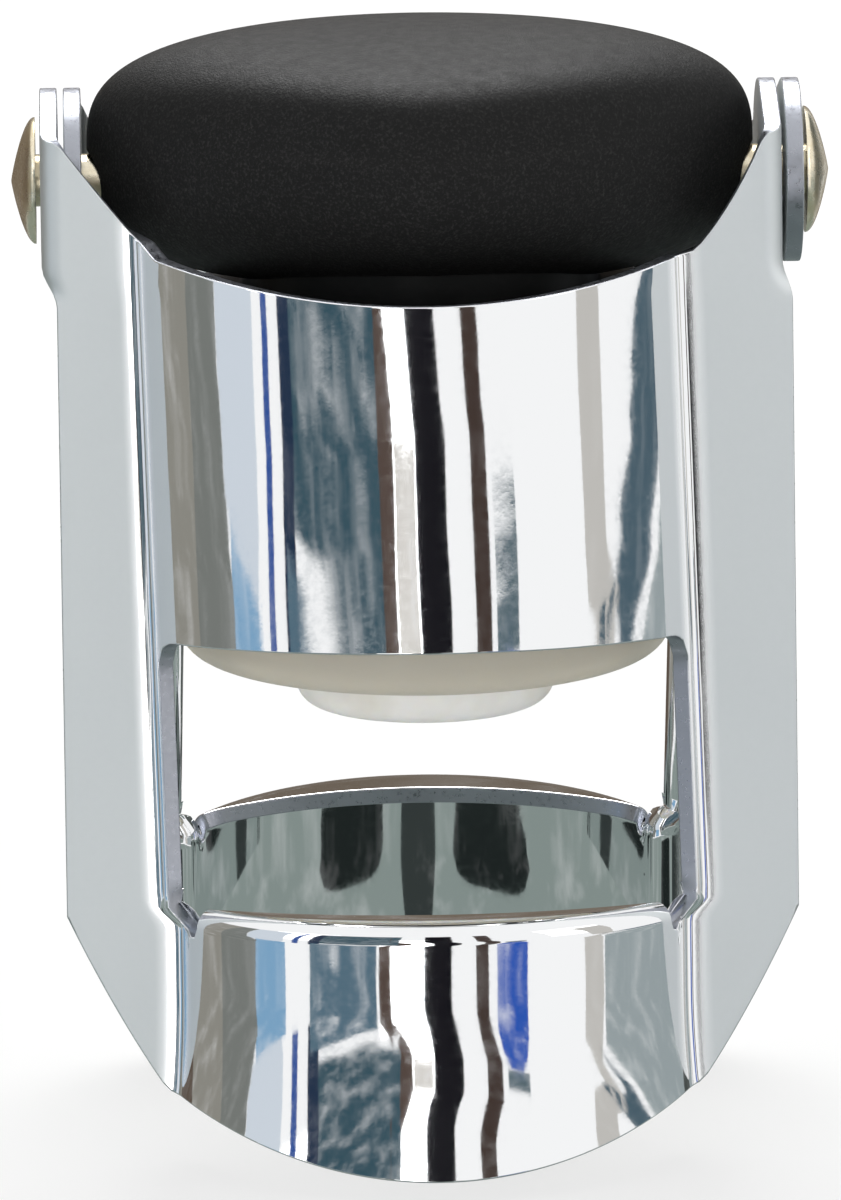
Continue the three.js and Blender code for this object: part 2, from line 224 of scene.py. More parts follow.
class StageSizes(bpy.types.PropertyGroup):
    """The camera, the floor, the lamps and the cards that the chrome reflects."""

    camera_distance: size("Camera distance", 650.0, "From the camera to its aim")
    camera_turn: turn("Camera turn", -1.5, "Turn of the camera about the object")
    camera_rise: turn("Camera rise", 12.5, "How far the camera looks down")
    camera_roll: turn("Camera roll", -0.6, "Roll of the camera")
    camera_lens: share("Lens", 336.3, "Focal length in millimetres")
    camera_sensor: share("Sensor", 36.0, "Width of the sensor in millimetres")
    clip_start: size("Clip start", 10.0, "Nearest distance that the camera sees")
    clip_end: size("Clip end", 20000.0, "Farthest distance that the camera sees")
    aim_across: size("Aim across", -0.23, "The camera's aim along the pin")
    aim_height: size("Aim height", 2.75, "The camera's aim above the lip")
    floor_half_width: size("Floor half width", 3000.0, "Half the width of the floor")
    card_radius: size("Card radius", 600.0, "Distance of the reflected cards from the middle")
    table_drop: size("Table drop", 200.0, "How far the reflected table lies below the lip")
    ambient: share("Ambient", 0.34, "Strength of the soft even light")


class Finishes(bpy.types.PropertyGroup):
    """Colours of the finishes."""

    cap_black: tint("Cap", "#1b1b1b", "Moulded black ABS of the cap")
    # Painted glints: the grain's specks are painted lighter where they catch the light
    cap_grain_glint: tint("Cap specks", "#3a3a39", "Lighter specks of the cap's grain")
    carrier_black: tint("Carrier", "#151616", "Moulded black ABS of the carrier")
    seal_cream: tint("Seal", "#faf9f5", "Off-white soft rubber")
    # The rubber's yellower patches, and also the painted shadow on the seal's outer rim
    seal_patch_and_shadow: tint("Seal shade", "#bbb5a4", "Yellower patches of the rubber")
    chrome_bright: tint("Chrome", "#f3f4f5", "Chromium plate where it is polished")
    chrome_edge: tint("Sheared edge", "#a9acb4", "Thin plating on the sheet's sheared edges")
    chrome_pinhole: tint("Pin holes", "#3c3a38", "Pin holes in the plating")
    chrome_satin: tint("Satin chrome", "#dde1e2", "Chromium plate on the flat flanges")
    brass_pale: tint("Nickelled brass", "#f6edd6", "The rivet's plating")
    brass_warm: tint("Worn brass", "#d9c59a", "The rivet's brass where the plating is thin")
    floor_pale: tint("Floor", "#f1f1f0", "The floor")
    floor_mottle: tint("Floor mottle", "#eeeeed", "Slightly darker patches of the floor")


# Curves and mesh helpers

# Faces round each turned shape
SEGMENTS = {"bore": 48, "pocket": 96, "carrier": 128, "seal": 144}
# Faces that meet at more than this stay sharp
SHARP_ANGLE = radians(38)
# A bore's cutter reaches past its piece by this factor
CUT_REACH_SHARE = 1.2
# A profile's point nearer to the axis than this closes the shape with a pole
POLE = 0.0001 * MM
# Points nearer to one another than this are one point
SAME_POINT = 0.001 * MM


def smooth_step(value, low, high):
    """A smooth change from 0 at low to 1 at high."""
    part = min(max((value - low) / (high - low), 0.0), 1.0)
    return part * part * (3 - 2 * part)


def blend(start, end, part):
    """The value a part of the way from start to end."""
    return start + (end - start) * part


def bowed(start, control, end, part):
    """The value a part of the way along a curve that a control value bows."""
    return (1 - part) ** 2 * start + 2 * part * (1 - part) * control + part * part * end


def rounding(part):
    """What a quarter circle still has to go, from all of it at 1 to nothing at 0 and below."""
    return 1 - sqrt(max(1 - max(0.0, part) ** 2, 0.0))


def per_size(length):
    """The scale of a pattern whose features are a given length across."""
    return 1.0 / length


def arc_corner(before, corner, after, radius, steps):
    """The points that round one corner of a profile."""
    to_before = (before - corner).normalized()
    to_after = (after - corner).normalized()
    half = to_before.angle(to_after) / 2
    reach = radius / tan(half)
    centre = corner + (to_before + to_after).normalized() * radius / sin(half)
    start = corner + to_before * reach - centre
    end = corner + to_after * reach - centre
    swing = start.angle(end)
    points = []
    for step in range(steps + 1):
        part = step / steps
        points.append(centre + (start * sin((1 - part) * swing) + end * sin(part * swing)) / sin(swing))
    return points


def rounded_profile(corners, steps=6):
    """A lathe profile from (radius, height, edge radius), with its edges rounded."""
    places = [Vector((radius, height)) for radius, height, _ in corners]
    points = []
    for index, (_, _, edge) in enumerate(corners):
        if edge > 0 and 0 < index < len(corners) - 1:
            points += arc_corner(places[index - 1], places[index], places[index + 1], edge, steps)
        else:
            points.append(places[index])
    return points


def lathe(mould, points, segments):
    """Adds a closed turned shape about Z; the profile starts and ends on the axis."""
    rings = []
    for radius, height in points:
        if radius < POLE:
            rings.append([mould.verts.new((0, 0, height))])
            continue
        ring = []
        for step in range(segments):
            angle = 2 * pi * step / segments
            ring.append(mould.verts.new((radius * cos(angle), radius * sin(angle), height)))
        rings.append(ring)
    for low, high in zip(rings, rings[1:]):
        for step in range(segments):
            after = (step + 1) % segments
            if len(low) == 1:
                mould.faces.new((low[0], high[after], high[step]))
            elif len(high) == 1:
                mould.faces.new((low[step], low[after], high[0]))
            else:
                mould.faces.new((low[step], low[after], high[after], high[step]))
    bmesh.ops.recalc_face_normals(mould, faces=mould.faces)


def mesh_from(mould, name):
    """A mesh with smooth faces from a bmesh, which is freed."""
    mesh = bpy.data.meshes.new(name)
    mould.to_mesh(mesh)
    mould.free()
    mesh.shade_smooth()
    return mesh


def evaluated_mesh(piece):
    """The mesh of an object with its modifiers applied."""
    bpy.context.view_layer.update()
    graph = bpy.context.evaluated_depsgraph_get()
    return bpy.data.meshes.new_from_object(piece.evaluated_get(graph))


def cut_away(mesh, cutters, name):
    """A mesh with the cutters' meshes taken out of it."""
    blank = bpy.data.objects.new(name, mesh)
    bpy.context.scene.collection.objects.link(blank)
    tools = []
    for cutter in cutters:
        tool = bpy.data.objects.new(cutter.name, cutter)
        bpy.context.scene.collection.objects.link(tool)
        taken = blank.modifiers.new(cutter.name, "BOOLEAN")
        taken.operation = "DIFFERENCE"
        taken.solver = "EXACT"
        taken.object = tool
        tools.append(tool)
    result = evaluated_mesh(blank)
    result.name = name
    for thing in [blank, *tools]:
        bpy.data.objects.remove(thing)
    return result


def bore_cutter(rivet, half_length):
    """A cylinder along X that cuts the bore for the rivet."""
    mould = bmesh.new()
    radius, reach = rivet.bore_radius, half_length * CUT_REACH_SHARE
    lathe(mould, [(0, -reach), (radius, -reach), (radius, reach), (0, reach)], SEGMENTS["bore"])
    place = Matrix.Translation((0, 0, rivet.pivot_height)) @ Matrix.Rotation(pi / 2, 4, "Y")
    mould.transform(place)
    return mesh_from(mould, "bore_cutter")


def finished_piece(name, mesh, material, body, node):
    """Links a mesh as a piece that rides on a body and stands for a CAD node, with its finish."""
    piece = bpy.data.objects.new(name, mesh)
    bpy.context.scene.collection.objects.link(piece)
    mesh.materials.clear()
    mesh.materials.append(material)
    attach(piece, body)
    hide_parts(node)
    return piece


# Materials

def add_node(tree, kind, inputs=None, **settings):
    """Adds one node; an input is a plain value, a socket, or a node whose first output feeds it."""
    node = tree.nodes.new(kind)
    for name, value in settings.items():
        setattr(node, name, value)
    for key, value in (inputs or {}).items():
        if isinstance(value, bpy.types.Node):
            value = value.outputs[0]
        if isinstance(value, bpy.types.NodeSocket):
            tree.links.new(value, node.inputs[key])
        else:
            node.inputs[key].default_value = value
    return node


def material_of(name, finish, *values):
    """A material whose surface a finish makes from the Object coordinates and its own values."""
    material = bpy.data.materials.new(name)
    material.use_nodes = True
    tree = material.node_tree
    tree.nodes.clear()
    place = add_node(tree, "ShaderNodeTexCoord").outputs["Object"]
    add_node(tree, "ShaderNodeOutputMaterial", {"Surface": finish(tree, place, *values)})
    return material


def grained_abs(tree, place, base, glint_speck, moulded):
    """Moulded ABS from a spark-eroded tool: matt, with specks that catch the light one by one."""
    specks = add_node(tree, "ShaderNodeTexNoise", {
        "Vector": place, "Scale": per_size(moulded.grain), "Detail": 3.0, "Roughness": 0.65,
    })
    coarse = add_node(tree, "ShaderNodeTexNoise", {
        "Vector": place, "Scale": per_size(moulded.grain * 4), "Detail": 2.0, "Roughness": 0.5,
    })
    lit = add_node(tree, "ShaderNodeMapRange", {"Value": specks, "From Min": 0.5, "From Max": 0.78})
    # Painted glints: the grain's specks are painted lighter where they catch the light
    colour = add_node(tree, "ShaderNodeMix", {0: lit, 6: base, 7: glint_speck}, data_type="RGBA").outputs[2]
    sheen = add_node(tree, "ShaderNodeMapRange", {
        "Value": coarse, "From Min": 0.3, "From Max": 0.7,
        "To Min": moulded.roughness - 0.05, "To Max": moulded.roughness + 0.07,
    })
    relief = add_node(tree, "ShaderNodeBump", {"Distance": moulded.grain_depth, "Height": specks})
    return add_node(tree, "ShaderNodeBsdfPrincipled", {
        "Base Color": colour, "Roughness": sheen, "IOR": 1.54, "Normal": relief,
        "Specular IOR Level": 0.12,
    })


def soft_rubber(tree, place, cream, shade):
    """Moulded translucent rubber: light goes a little way in, so its edges glow, never chalky."""
    cloud_size, grain_size, grain_depth = 6 * MM, 0.4 * MM, 0.012 * MM
    shadow_start_radius, shadow_full_radius, glow_depth = 7.8 * MM, 12.5 * MM, 1.8 * MM
    cloud = add_node(tree, "ShaderNodeTexNoise", {
        "Vector": place, "Scale": per_size(cloud_size), "Detail": 3.0, "Roughness": 0.55,
    })
    grain = add_node(tree, "ShaderNodeTexNoise", {
        "Vector": place, "Scale": per_size(grain_size), "Detail": 2.0, "Roughness": 0.6,
    })
    patch = add_node(tree, "ShaderNodeMapRange", {
        "Value": cloud, "From Min": 0.4, "From Max": 0.75, "To Max": 0.45,
    })
    # Painted shadow: the outer rim, which the trough's lower edge shades, is painted darker than the
    # nose
    flat = add_node(tree, "ShaderNodeVectorMath", {0: place, 1: (1.0, 1.0, 0.0)}, operation="MULTIPLY")
    reach = add_node(tree, "ShaderNodeVectorMath", {0: flat}, operation="LENGTH").outputs["Value"]
    rim = add_node(tree, "ShaderNodeMapRange", {
        "Value": reach, "From Min": shadow_start_radius, "From Max": shadow_full_radius, "To Max": 0.85,
    })
    # Random patches of the rubber, and the painted shadow on its outer rim
    patch_and_shadow = add_node(tree, "ShaderNodeMath", {0: patch, 1: rim}, operation="MAXIMUM")
    colour = add_node(tree, "ShaderNodeMix", {0: patch_and_shadow, 6: cream, 7: shade}, data_type="RGBA")
    sheen = add_node(tree, "ShaderNodeMapRange", {
        "Value": cloud, "From Min": 0.3, "From Max": 0.7, "To Min": 0.38, "To Max": 0.5,
    })
    relief = add_node(tree, "ShaderNodeBump", {"Distance": grain_depth, "Height": grain})
    return add_node(tree, "ShaderNodeBsdfPrincipled", {
        "Base Color": colour.outputs[2], "Roughness": sheen, "IOR": 1.43, "Normal": relief,
        "Subsurface Weight": 0.45, "Subsurface Radius": (1.0, 0.85, 0.6), "Subsurface Scale": glow_depth,
    })


def bright_chrome(tree, place, bright, satin, pinhole):
    """Chromium plate on pressed steel: a mirror in the trough, brushed out to satin on the flanges."""
    wave_size, wave_depth = 11 * MM, 0.09 * MM
    grain_size, grain_depth = 0.45 * MM, 0.0004 * MM
    pinhole_spacing = 6.5 * MM
    polish = add_node(tree, "ShaderNodeAttribute", attribute_name="polish").outputs["Fac"]
    # Pressing leaves long shallow waves, which make straight reflections wander
    waves = add_node(tree, "ShaderNodeTexNoise", {
        "Vector": place, "Scale": per_size(wave_size), "Detail": 1.5, "Roughness": 0.45,
    })
    # The plating's own fine grain, drawn coarser than real so that it shows
    grain = add_node(tree, "ShaderNodeTexNoise", {
        "Vector": place, "Scale": per_size(grain_size), "Detail": 3.0, "Roughness": 0.6,
    })
    # Pin holes in the plating: rare dark specks, about a fifth of a millimetre across
    holes = add_node(tree, "ShaderNodeTexVoronoi", {"Vector": place, "Scale": per_size(pinhole_spacing)})
    hole = add_node(tree, "ShaderNodeMapRange", {
        "Value": holes, "From Min": 0.01, "From Max": 0.022, "To Min": 0.8, "To Max": 0.0,
    })
    plate = add_node(tree, "ShaderNodeMix", {0: polish, 6: satin, 7: bright}, data_type="RGBA")
    colour = add_node(tree, "ShaderNodeMix", {
        0: hole, 6: plate.outputs[2], 7: pinhole,
    }, data_type="RGBA")
    mirror = add_node(tree, "ShaderNodeMapRange", {"Value": polish, "To Min": 0.56, "To Max": 0.035})
    dulled = add_node(tree, "ShaderNodeMapRange", {
        "Value": grain, "From Min": 0.3, "From Max": 0.7, "To Min": -0.012, "To Max": 0.025,
    })
    roughness = add_node(tree, "ShaderNodeMath", {0: mirror, 1: dulled}, operation="ADD")
    wavy = add_node(tree, "ShaderNodeBump", {"Distance": wave_depth, "Height": waves})
    relief = add_node(tree, "ShaderNodeBump", {
        "Distance": grain_depth, "Height": grain, "Normal": wavy,
    })
    return add_node(tree, "ShaderNodeBsdfPrincipled", {
        "Base Color": colour.outputs[2], "Metallic": 1.0, "Roughness": roughness, "Normal": relief,
    })


def sheared_chrome(tree, place, colour):
    """Chromium plate on a sheared edge: duller and greyer, with the shear's fine lines."""
    line_size, line_depth = 0.3 * MM, 0.008 * MM
    lines = add_node(tree, "ShaderNodeTexNoise", {
        "Vector": place, "Scale": per_size(line_size), "Detail": 3.0, "Roughness": 0.6,
    })
    roughness = add_node(tree, "ShaderNodeMapRange", {
        "Value": lines, "From Min": 0.3, "From Max": 0.7, "To Min": 0.24, "To Max": 0.42,
    })
    relief = add_node(tree, "ShaderNodeBump", {"Distance": line_depth, "Height": lines})
    return add_node(tree, "ShaderNodeBsdfPrincipled", {
        "Base Color": colour, "Metallic": 1.0, "Roughness": roughness, "Normal": relief,
    })


def nickelled_brass(tree, place, pale, warm):
    """Riveted brass with a thin nickel flash: soft-edged reflections, yellower where it is worn."""
    wear_size, wear_depth = 1.6 * MM, 0.03 * MM
    wear = add_node(tree, "ShaderNodeTexNoise", {
        "Vector": place, "Scale": per_size(wear_size), "Detail": 4.0, "Roughness": 0.6,
    })
    worn = add_node(tree, "ShaderNodeMapRange", {
        "Value": wear, "From Min": 0.42, "From Max": 0.72, "To Max": 0.8,
    })
    colour = add_node(tree, "ShaderNodeMix", {0: worn, 6: pale, 7: warm}, data_type="RGBA")
    roughness = add_node(tree, "ShaderNodeMapRange", {
        "Value": wear, "From Min": 0.3, "From Max": 0.7, "To Min": 0.2, "To Max": 0.34,
    })
    hammered = add_node(tree, "ShaderNodeBump", {"Distance": wear_depth, "Height": wear})
    return add_node(tree, "ShaderNodeBsdfPrincipled", {
        "Base Color": colour.outputs[2], "Metallic": 1.0, "Roughness": roughness, "Normal": hammered,
    })


# Cap

# Rings along the cap, and points round each ring
CAP_RINGS = 112
CAP_POINTS = 200
# From this share of the way to a tip on, the crease fades into a plain oval
CREASE_FADE_SHARE = 0.35
# The section's reach is found by halving the span from 0 to this limit, this many times
REACH_LIMIT, REACH_HALVINGS = 1.5, 28
# Half the height over which the ledge steps in, and its distance from the cap's middle plane
# where it starts to lessen
LEDGE_STEP, LEDGE_MIDDLE = 0.2 * MM, 5 * MM
# Shares of the ledge's half length between which it fades, and of its rise where it ends upward
LEDGE_FADE_SHARES, LEDGE_TOP_SHARE = (0.6, 1.2), 3.4


def creased_reach(angle, cap):
    """How far the middle section reaches in a direction, for a half depth and crown of 1."""
    across, up = abs(cos(angle)), abs(sin(angle))
    low, high = 0.0, REACH_LIMIT
    for _ in range(REACH_HALVINGS):
        reach = (low + high) / 2
        dome = reach * up + cap.dome_bow * (reach * across) ** 2
        wall = reach * across + cap.wall_bow * (reach * up) ** 2
        if dome ** cap.crease_power + wall ** cap.crease_power > 1:
            high = reach
        else:
            low = reach
    return low


def oval_reach(angle, power):
    """The same for a plain superellipse."""
    return (abs(cos(angle)) ** power + abs(sin(angle)) ** power) ** (-1 / power)


def ledge_inset(cap, along, rise):
    """How far the wall steps in just above the parting line, fading upward and towards the ends."""
    line = cap.ledge_rise
    step = smooth_step(rise, line - LEDGE_STEP, line + LEDGE_STEP)
    upward = 1 - smooth_step(rise, line + LEDGE_STEP * 2, line * LEDGE_TOP_SHARE)
    start, end = (cap.ledge_half_length * part for part in LEDGE_FADE_SHARES)
    return cap.ledge_depth * (step * upward) * (1 - smooth_step(abs(along), start, end))


def cap_blank(cap):
    """The whole pebble: rings along the pin, each with its own depth, crown and belly."""
    angles = [2 * pi * step / CAP_POINTS for step in range(CAP_POINTS)]
    creased = [creased_reach(angle, cap) for angle in angles]
    plain = [oval_reach(angle, cap.end_power) for angle in angles]
    controls = (
        Vector((0, cap.half_depth)),
        Vector((cap.half_length * cap.shoulder_share, cap.half_depth)),
        Vector((cap.half_length, cap.half_depth * cap.fullness_share)),
        Vector((cap.half_length, 0)),
    )

    def plan(part):
        rest = 1 - part
        weights = (rest ** 3, 3 * rest ** 2 * part, 3 * rest * part ** 2, part ** 3)
        return sum((point * weight for point, weight in zip(controls, weights)), Vector((0, 0)))

    def fall(along, power):
        return (1 - min(along / cap.half_length, 1) ** power) ** (1 / power)

    mould = bmesh.new()
    loops = []
    for ring in range(CAP_RINGS + 1):
        part = 2 * ring / CAP_RINGS - 1
        along, depth = plan(abs(part))
        side = 1 if part > 0 else -1
        if ring in (0, CAP_RINGS):
            loops.append([mould.verts.new((side * cap.half_length, 0, cap.centre_height))])
            continue
        crown = cap.crown * fall(along, cap.crown_power)
        belly = cap.belly * fall(along, cap.belly_power)
        toward_end = smooth_step(abs(part), CREASE_FADE_SHARE, 1.0)
        loop = []
        for angle, creased_one, plain_one in zip(angles, creased, plain):
            above = sin(angle) > 0
            reach = blend(creased_one, plain_one, toward_end) if above else plain_one
            y = depth * reach * cos(angle)
            rise = (crown if above else belly) * reach * sin(angle)
            if above:
                y -= ledge_inset(cap, along, rise) * (1 if y > 0 else -1) * min(abs(y) / LEDGE_MIDDLE, 1)
            height = max(cap.centre_height + rise, cap.underside)
            loop.append(mould.verts.new((side * along, y, height)))
        loops.append(loop)
    for low, high in zip(loops, loops[1:]):
        for step in range(CAP_POINTS):
            after = (step + 1) % CAP_POINTS
            if len(low) == 1:
                mould.faces.new((low[0], high[step], high[after]))
            elif len(high) == 1:
                mould.faces.new((low[step], high[0], low[after]))
            else:
                mould.faces.new((low[step], high[step], high[after], low[after]))
    bmesh.ops.recalc_face_normals(mould, faces=mould.faces)
    return mesh_from(mould, "cap_blank")


class STOPPER_OT_cap(bpy.types.Operator):
    """Build the moulded cap with its pocket and the rivet's bore"""

    bl_idname = "stopper.cap"
    bl_label = "Cap"

    def execute(self, context):
        cap = context.scene.stopper_cap
        pocket = bmesh.new()
        low = cap.centre_height - cap.belly * 2
        lathe(pocket, [
            (0, low), (cap.pocket_radius, low), (cap.pocket_radius, cap.pocket_top), (0, cap.pocket_top),
        ], SEGMENTS["pocket"])
        cutters = [
            mesh_from(pocket, "pocket_cutter"),
            bore_cutter(context.scene.stopper_rivet, cap.half_length),
        ]
        mesh = cut_away(cap_blank(cap), cutters, "moulded_cap")
        mesh.set_sharp_from_angle(angle=SHARP_ANGLE)
        looks = context.scene.stopper_finishes
        material = material_of(
            "Moulded ABS, grained black", grained_abs, looks.cap_black, looks.cap_grain_glint, cap,
        )
        finished_piece("moulded_cap", mesh, material, "root", "cap")
        return {"FINISHED"}


# Carrier and seal

# Steps round each rounded edge of the seal
SEAL_EDGE_STEPS = 10


class STOPPER_OT_carrier(bpy.types.Operator):
    """Build the hollow carrier with its spigot and barbed peg"""

    bl_idname = "stopper.carrier"
    bl_label = "Carrier"

    def execute(self, context):
        body = context.scene.stopper_carrier
        tip = body.bottom - body.peg_length
        inner = body.radius - body.wall
        throat = body.spigot_radius - body.wall
        roof = body.shoulder - body.wall
        ledge = body.bottom + body.floor
        edge = body.edge
        mould = bmesh.new()
        lathe(mould, rounded_profile([
            (0, tip, 0),
            (body.peg_radius, tip, edge),
            (body.barb_radius, tip + body.barb_height / 2, edge / 2),
            (body.barb_radius, tip + body.barb_height, edge / 2),
            (body.peg_radius, tip + body.barb_height, edge / 2),
            (body.peg_radius, body.bottom, edge),
            (body.radius, body.bottom, edge * 2),
            (body.radius, body.shoulder, edge * 2),
            (body.spigot_radius, body.shoulder, edge),
            (body.spigot_radius, body.spigot_top, edge),
            (throat, body.spigot_top, edge),
            (throat, roof, edge),
            (inner, roof, edge),
            (inner, ledge, edge),
            (0, ledge, 0),
        ]), SEGMENTS["carrier"])
        blank = mesh_from(mould, "carrier_blank")
        bore = bore_cutter(context.scene.stopper_rivet, body.radius)
        mesh = cut_away(blank, [bore], "hollow_carrier")
        mesh.set_sharp_from_angle(angle=SHARP_ANGLE)
        looks = context.scene.stopper_finishes
        material = material_of(
            "Moulded ABS, plain black", grained_abs, looks.carrier_black, looks.cap_black, body,
        )
        finished_piece("hollow_carrier", mesh, material, "root", "carrier")
        return {"FINISHED"}


class STOPPER_OT_seal(bpy.types.Operator):
    """Build the soft seal with its nose and the hole for the peg"""

    bl_idname = "stopper.seal"
    bl_label = "Seal"

    def execute(self, context):
        seal = context.scene.stopper_seal
        body = context.scene.stopper_carrier
        gap = seal.clearance
        deep = body.bottom - body.peg_length - gap
        barb_top = deep + body.barb_height + gap * 2
        mould = bmesh.new()
        lathe(mould, rounded_profile([
            (0, -seal.nose_depth, 0),
            (seal.nose_radius, -seal.nose_depth, seal.nose_round),
            (seal.nose_radius, 0, seal.nose_fillet),
            (seal.radius, 0, seal.lower_round),
            (seal.radius, seal.height, seal.upper_round),
            (body.peg_radius + gap, seal.height, gap),
            (body.peg_radius + gap, barb_top, gap / 2),
            (body.barb_radius + gap, barb_top, gap / 2),
            (body.barb_radius + gap, deep, gap / 2),
            (0, deep, 0),
        ], SEAL_EDGE_STEPS), SEGMENTS["seal"])
        mesh = mesh_from(mould, "soft_seal")
        looks = context.scene.stopper_finishes
        material = material_of(
            "Moulded rubber, off-white", soft_rubber, looks.seal_cream, looks.seal_patch_and_shadow,
        )
        finished_piece("soft_seal", mesh, material, "root", "seal")
        return {"FINISHED"}


# Rivet

# The sockets that the rivet's node tree takes its sizes from
RIVET_INPUTS = {
    "Shank Radius": "shank_radius",
    "Head Radius": "head_radius",
    "Head Height": "head_height",
    "Head Seat": "head_seat",
}
# Points along the dome's section, round a head and round the shank
RIVET_POINTS = {"section": 26, "head": 72, "shank": 64}
# The dome's section is a superellipse of this power, so its rim is rounded as a set rivet's is
DOME_POWER = 2.35
# The dome narrows to this radius at its top
DOME_TIP = 0.01 * MM


def rivet_tree(rivet_metal):
    """One domed head, turned from a curve and set at both ends of a shank along X."""
    tree = bpy.data.node_groups.new("Rivet with two heads", "GeometryNodeTree")
    for label in RIVET_INPUTS:
        socket = tree.interface.new_socket(name=label, in_out="INPUT", socket_type="NodeSocketFloat")
        socket.subtype = "DISTANCE"
    tree.interface.new_socket(name="Geometry", in_out="OUTPUT", socket_type="NodeSocketGeometry")
    given = add_node(tree, "NodeGroupInput").outputs

    # The sums behind the shape, each from earlier ones, plain values and the given sizes
    sums = {label: given[label] for label in RIVET_INPUTS}
    sums["factor"] = add_node(tree, "GeometryNodeSplineParameter").outputs["Factor"]
    sums["index"] = add_node(tree, "GeometryNodeInputIndex")
    for name, operation, first, second in (
        ("swing", "MULTIPLY", "factor", pi / 2),
        ("sine", "SINE", "swing", 0.0),
        ("sine size", "ABSOLUTE", "sine", 0.0),
        ("rise share", "POWER", "sine size", 2 / DOME_POWER),
        ("rise", "MULTIPLY", "rise share", "Head Height"),
        ("cosine", "COSINE", "swing", 0.0),
        ("cosine size", "ABSOLUTE", "cosine", 0.0),
        ("reach share", "POWER", "cosine size", 2 / DOME_POWER),
        ("open reach", "MULTIPLY", "reach share", "Head Radius"),
        ("reach", "MAXIMUM", "open reach", DOME_TIP),
        ("span", "MULTIPLY", "Head Seat", 2.0),
        ("first seat", "MULTIPLY", "Head Seat", -1.0),
        ("facing away", "SUBTRACT", 1.0, "index"),
        ("head turn", "MULTIPLY", "facing away", pi),
    ):
        terms = {0: sums.get(first, first), 1: sums.get(second, second)}
        sums[name] = add_node(tree, "ShaderNodeMath", terms, operation=operation)

    line = add_node(tree, "GeometryNodeCurvePrimitiveLine", {"End": (0.0, 0.0, 1.0)})
    fine = add_node(tree, "GeometryNodeResampleCurve", {"Curve": line, "Count": RIVET_POINTS["section"]})
    place = add_node(tree, "ShaderNodeCombineXYZ", {"X": sums["rise"]})
    dome = add_node(tree, "GeometryNodeSetPosition", {"Geometry": fine, "Position": place})
    circle = add_node(tree, "GeometryNodeCurvePrimitiveCircle", {
        "Resolution": RIVET_POINTS["head"], "Radius": 1.0,
    })
    head = add_node(tree, "GeometryNodeCurveToMesh", {
        "Curve": dome, "Profile Curve": circle, "Scale": sums["reach"], "Fill Caps": True,
    })
    start = add_node(tree, "ShaderNodeCombineXYZ", {"X": sums["first seat"]})
    offset = add_node(tree, "ShaderNodeCombineXYZ", {"X": sums["span"]})
    ends = add_node(tree, "GeometryNodeMeshLine", {
        "Count": 2, "Start Location": start, "Offset": offset,
    })
    facing = add_node(tree, "ShaderNodeCombineXYZ", {"Z": sums["head turn"]})
    heads = add_node(tree, "GeometryNodeInstanceOnPoints", {
        "Points": ends, "Instance": head, "Rotation": facing,
    })
    rod = add_node(tree, "GeometryNodeMeshCylinder", {
        "Vertices": RIVET_POINTS["shank"], "Radius": given["Shank Radius"], "Depth": sums["span"],
    })
    shank = add_node(tree, "GeometryNodeTransform", {"Geometry": rod, "Rotation": (0.0, pi / 2, 0.0)})
    joined = add_node(tree, "GeometryNodeJoinGeometry")
    for piece in (shank, heads):
        tree.links.new(piece.outputs[0], joined.inputs[0])
    real = add_node(tree, "GeometryNodeRealizeInstances", {"Geometry": joined})
    dressed = add_node(tree, "GeometryNodeSetMaterial", {"Geometry": real, "Material": rivet_metal})
    add_node(tree, "NodeGroupOutput", {"Geometry": dressed})
    return tree


class STOPPER_OT_rivet(bpy.types.Operator):
    """Build the long rivet with a domed head at both ends"""

    bl_idname = "stopper.rivet"
    bl_label = "Rivet"

    def execute(self, context):
        rivet = context.scene.stopper_rivet
        looks = context.scene.stopper_finishes
        metal = material_of(
            "Nickelled brass, riveted", nickelled_brass, looks.brass_pale, looks.brass_warm,
        )
        tree = rivet_tree(metal)
        seed = bpy.data.objects.new("long_rivet", bpy.data.meshes.new("rivet_seed"))
        context.scene.collection.objects.link(seed)
        nodes = seed.modifiers.new("Rivet", "NODES")
        nodes.node_group = tree
        sockets = {item.name: item.identifier for item in tree.interface.items_tree}
        for label, name in RIVET_INPUTS.items():
            nodes[sockets[label]] = getattr(rivet, name)
        mesh = evaluated_mesh(seed)
        if not mesh.polygons:
            raise RuntimeError("the rivet's node tree gave no faces")
        bpy.data.objects.remove(seed)
        mould = bmesh.new()
        mould.from_mesh(mesh)
        bmesh.ops.recalc_face_normals(mould, faces=mould.faces)
        mould.transform(Matrix.Translation((0, 0, rivet.pivot_height)))
        mesh = mesh_from(mould, "long_rivet")
        mesh.set_sharp_from_angle(angle=SHARP_ANGLE)
        finished_piece("long_rivet", mesh, metal, "root", "rivet_pin")
        return {"FINISHED"}


# Wings

# Degrees of the bend's columns, from its edge to the flange
BEND_ANGLES = (90, 62, 40, 20, 0)
# Steps across each kind of column, down each region of rows, and round and across an ear
COLUMNS = {"bend": 4, "flange": 9, "fold": 6, "strip": 2, "notch": 6, "tab": 52}
ROWS = {"neck": 7, "step": 7, "trough": 18, "side": 15, "foot": 9, "skirt": 20, "lip": 14}
EAR = {"lower edge": 6, "round": 32, "upper edge": 7, "rings": 4}
# Rounds in which a column's ends are fitted to the sheet's upper and lower edge
NECK_ROUNDS, BOTTOM_ROUNDS = 8, 14
# Least length of the rows in the neck and in the step, and the gap under the step
LEAST_NECK, LEAST_STEP, STEP_GAP = 1.8 * MM, 1.5 * MM, 0.4 * MM
# Drops of the rows that cross a flange: the window's side at the outer edge, and the foot at the
# fold and at the outer edge
SIDE_OUTER, FOOT_INNER, FOOT_OUTER = 36.2 * MM, 44.2 * MM, 38.0 * MM
# How fast the window's rounded corner is passed on the way across a notch
CORNER_PACE = 1.6
# The collar would reach its full flare this far below the sheet
FLARE_OVERRUN = 1 * MM
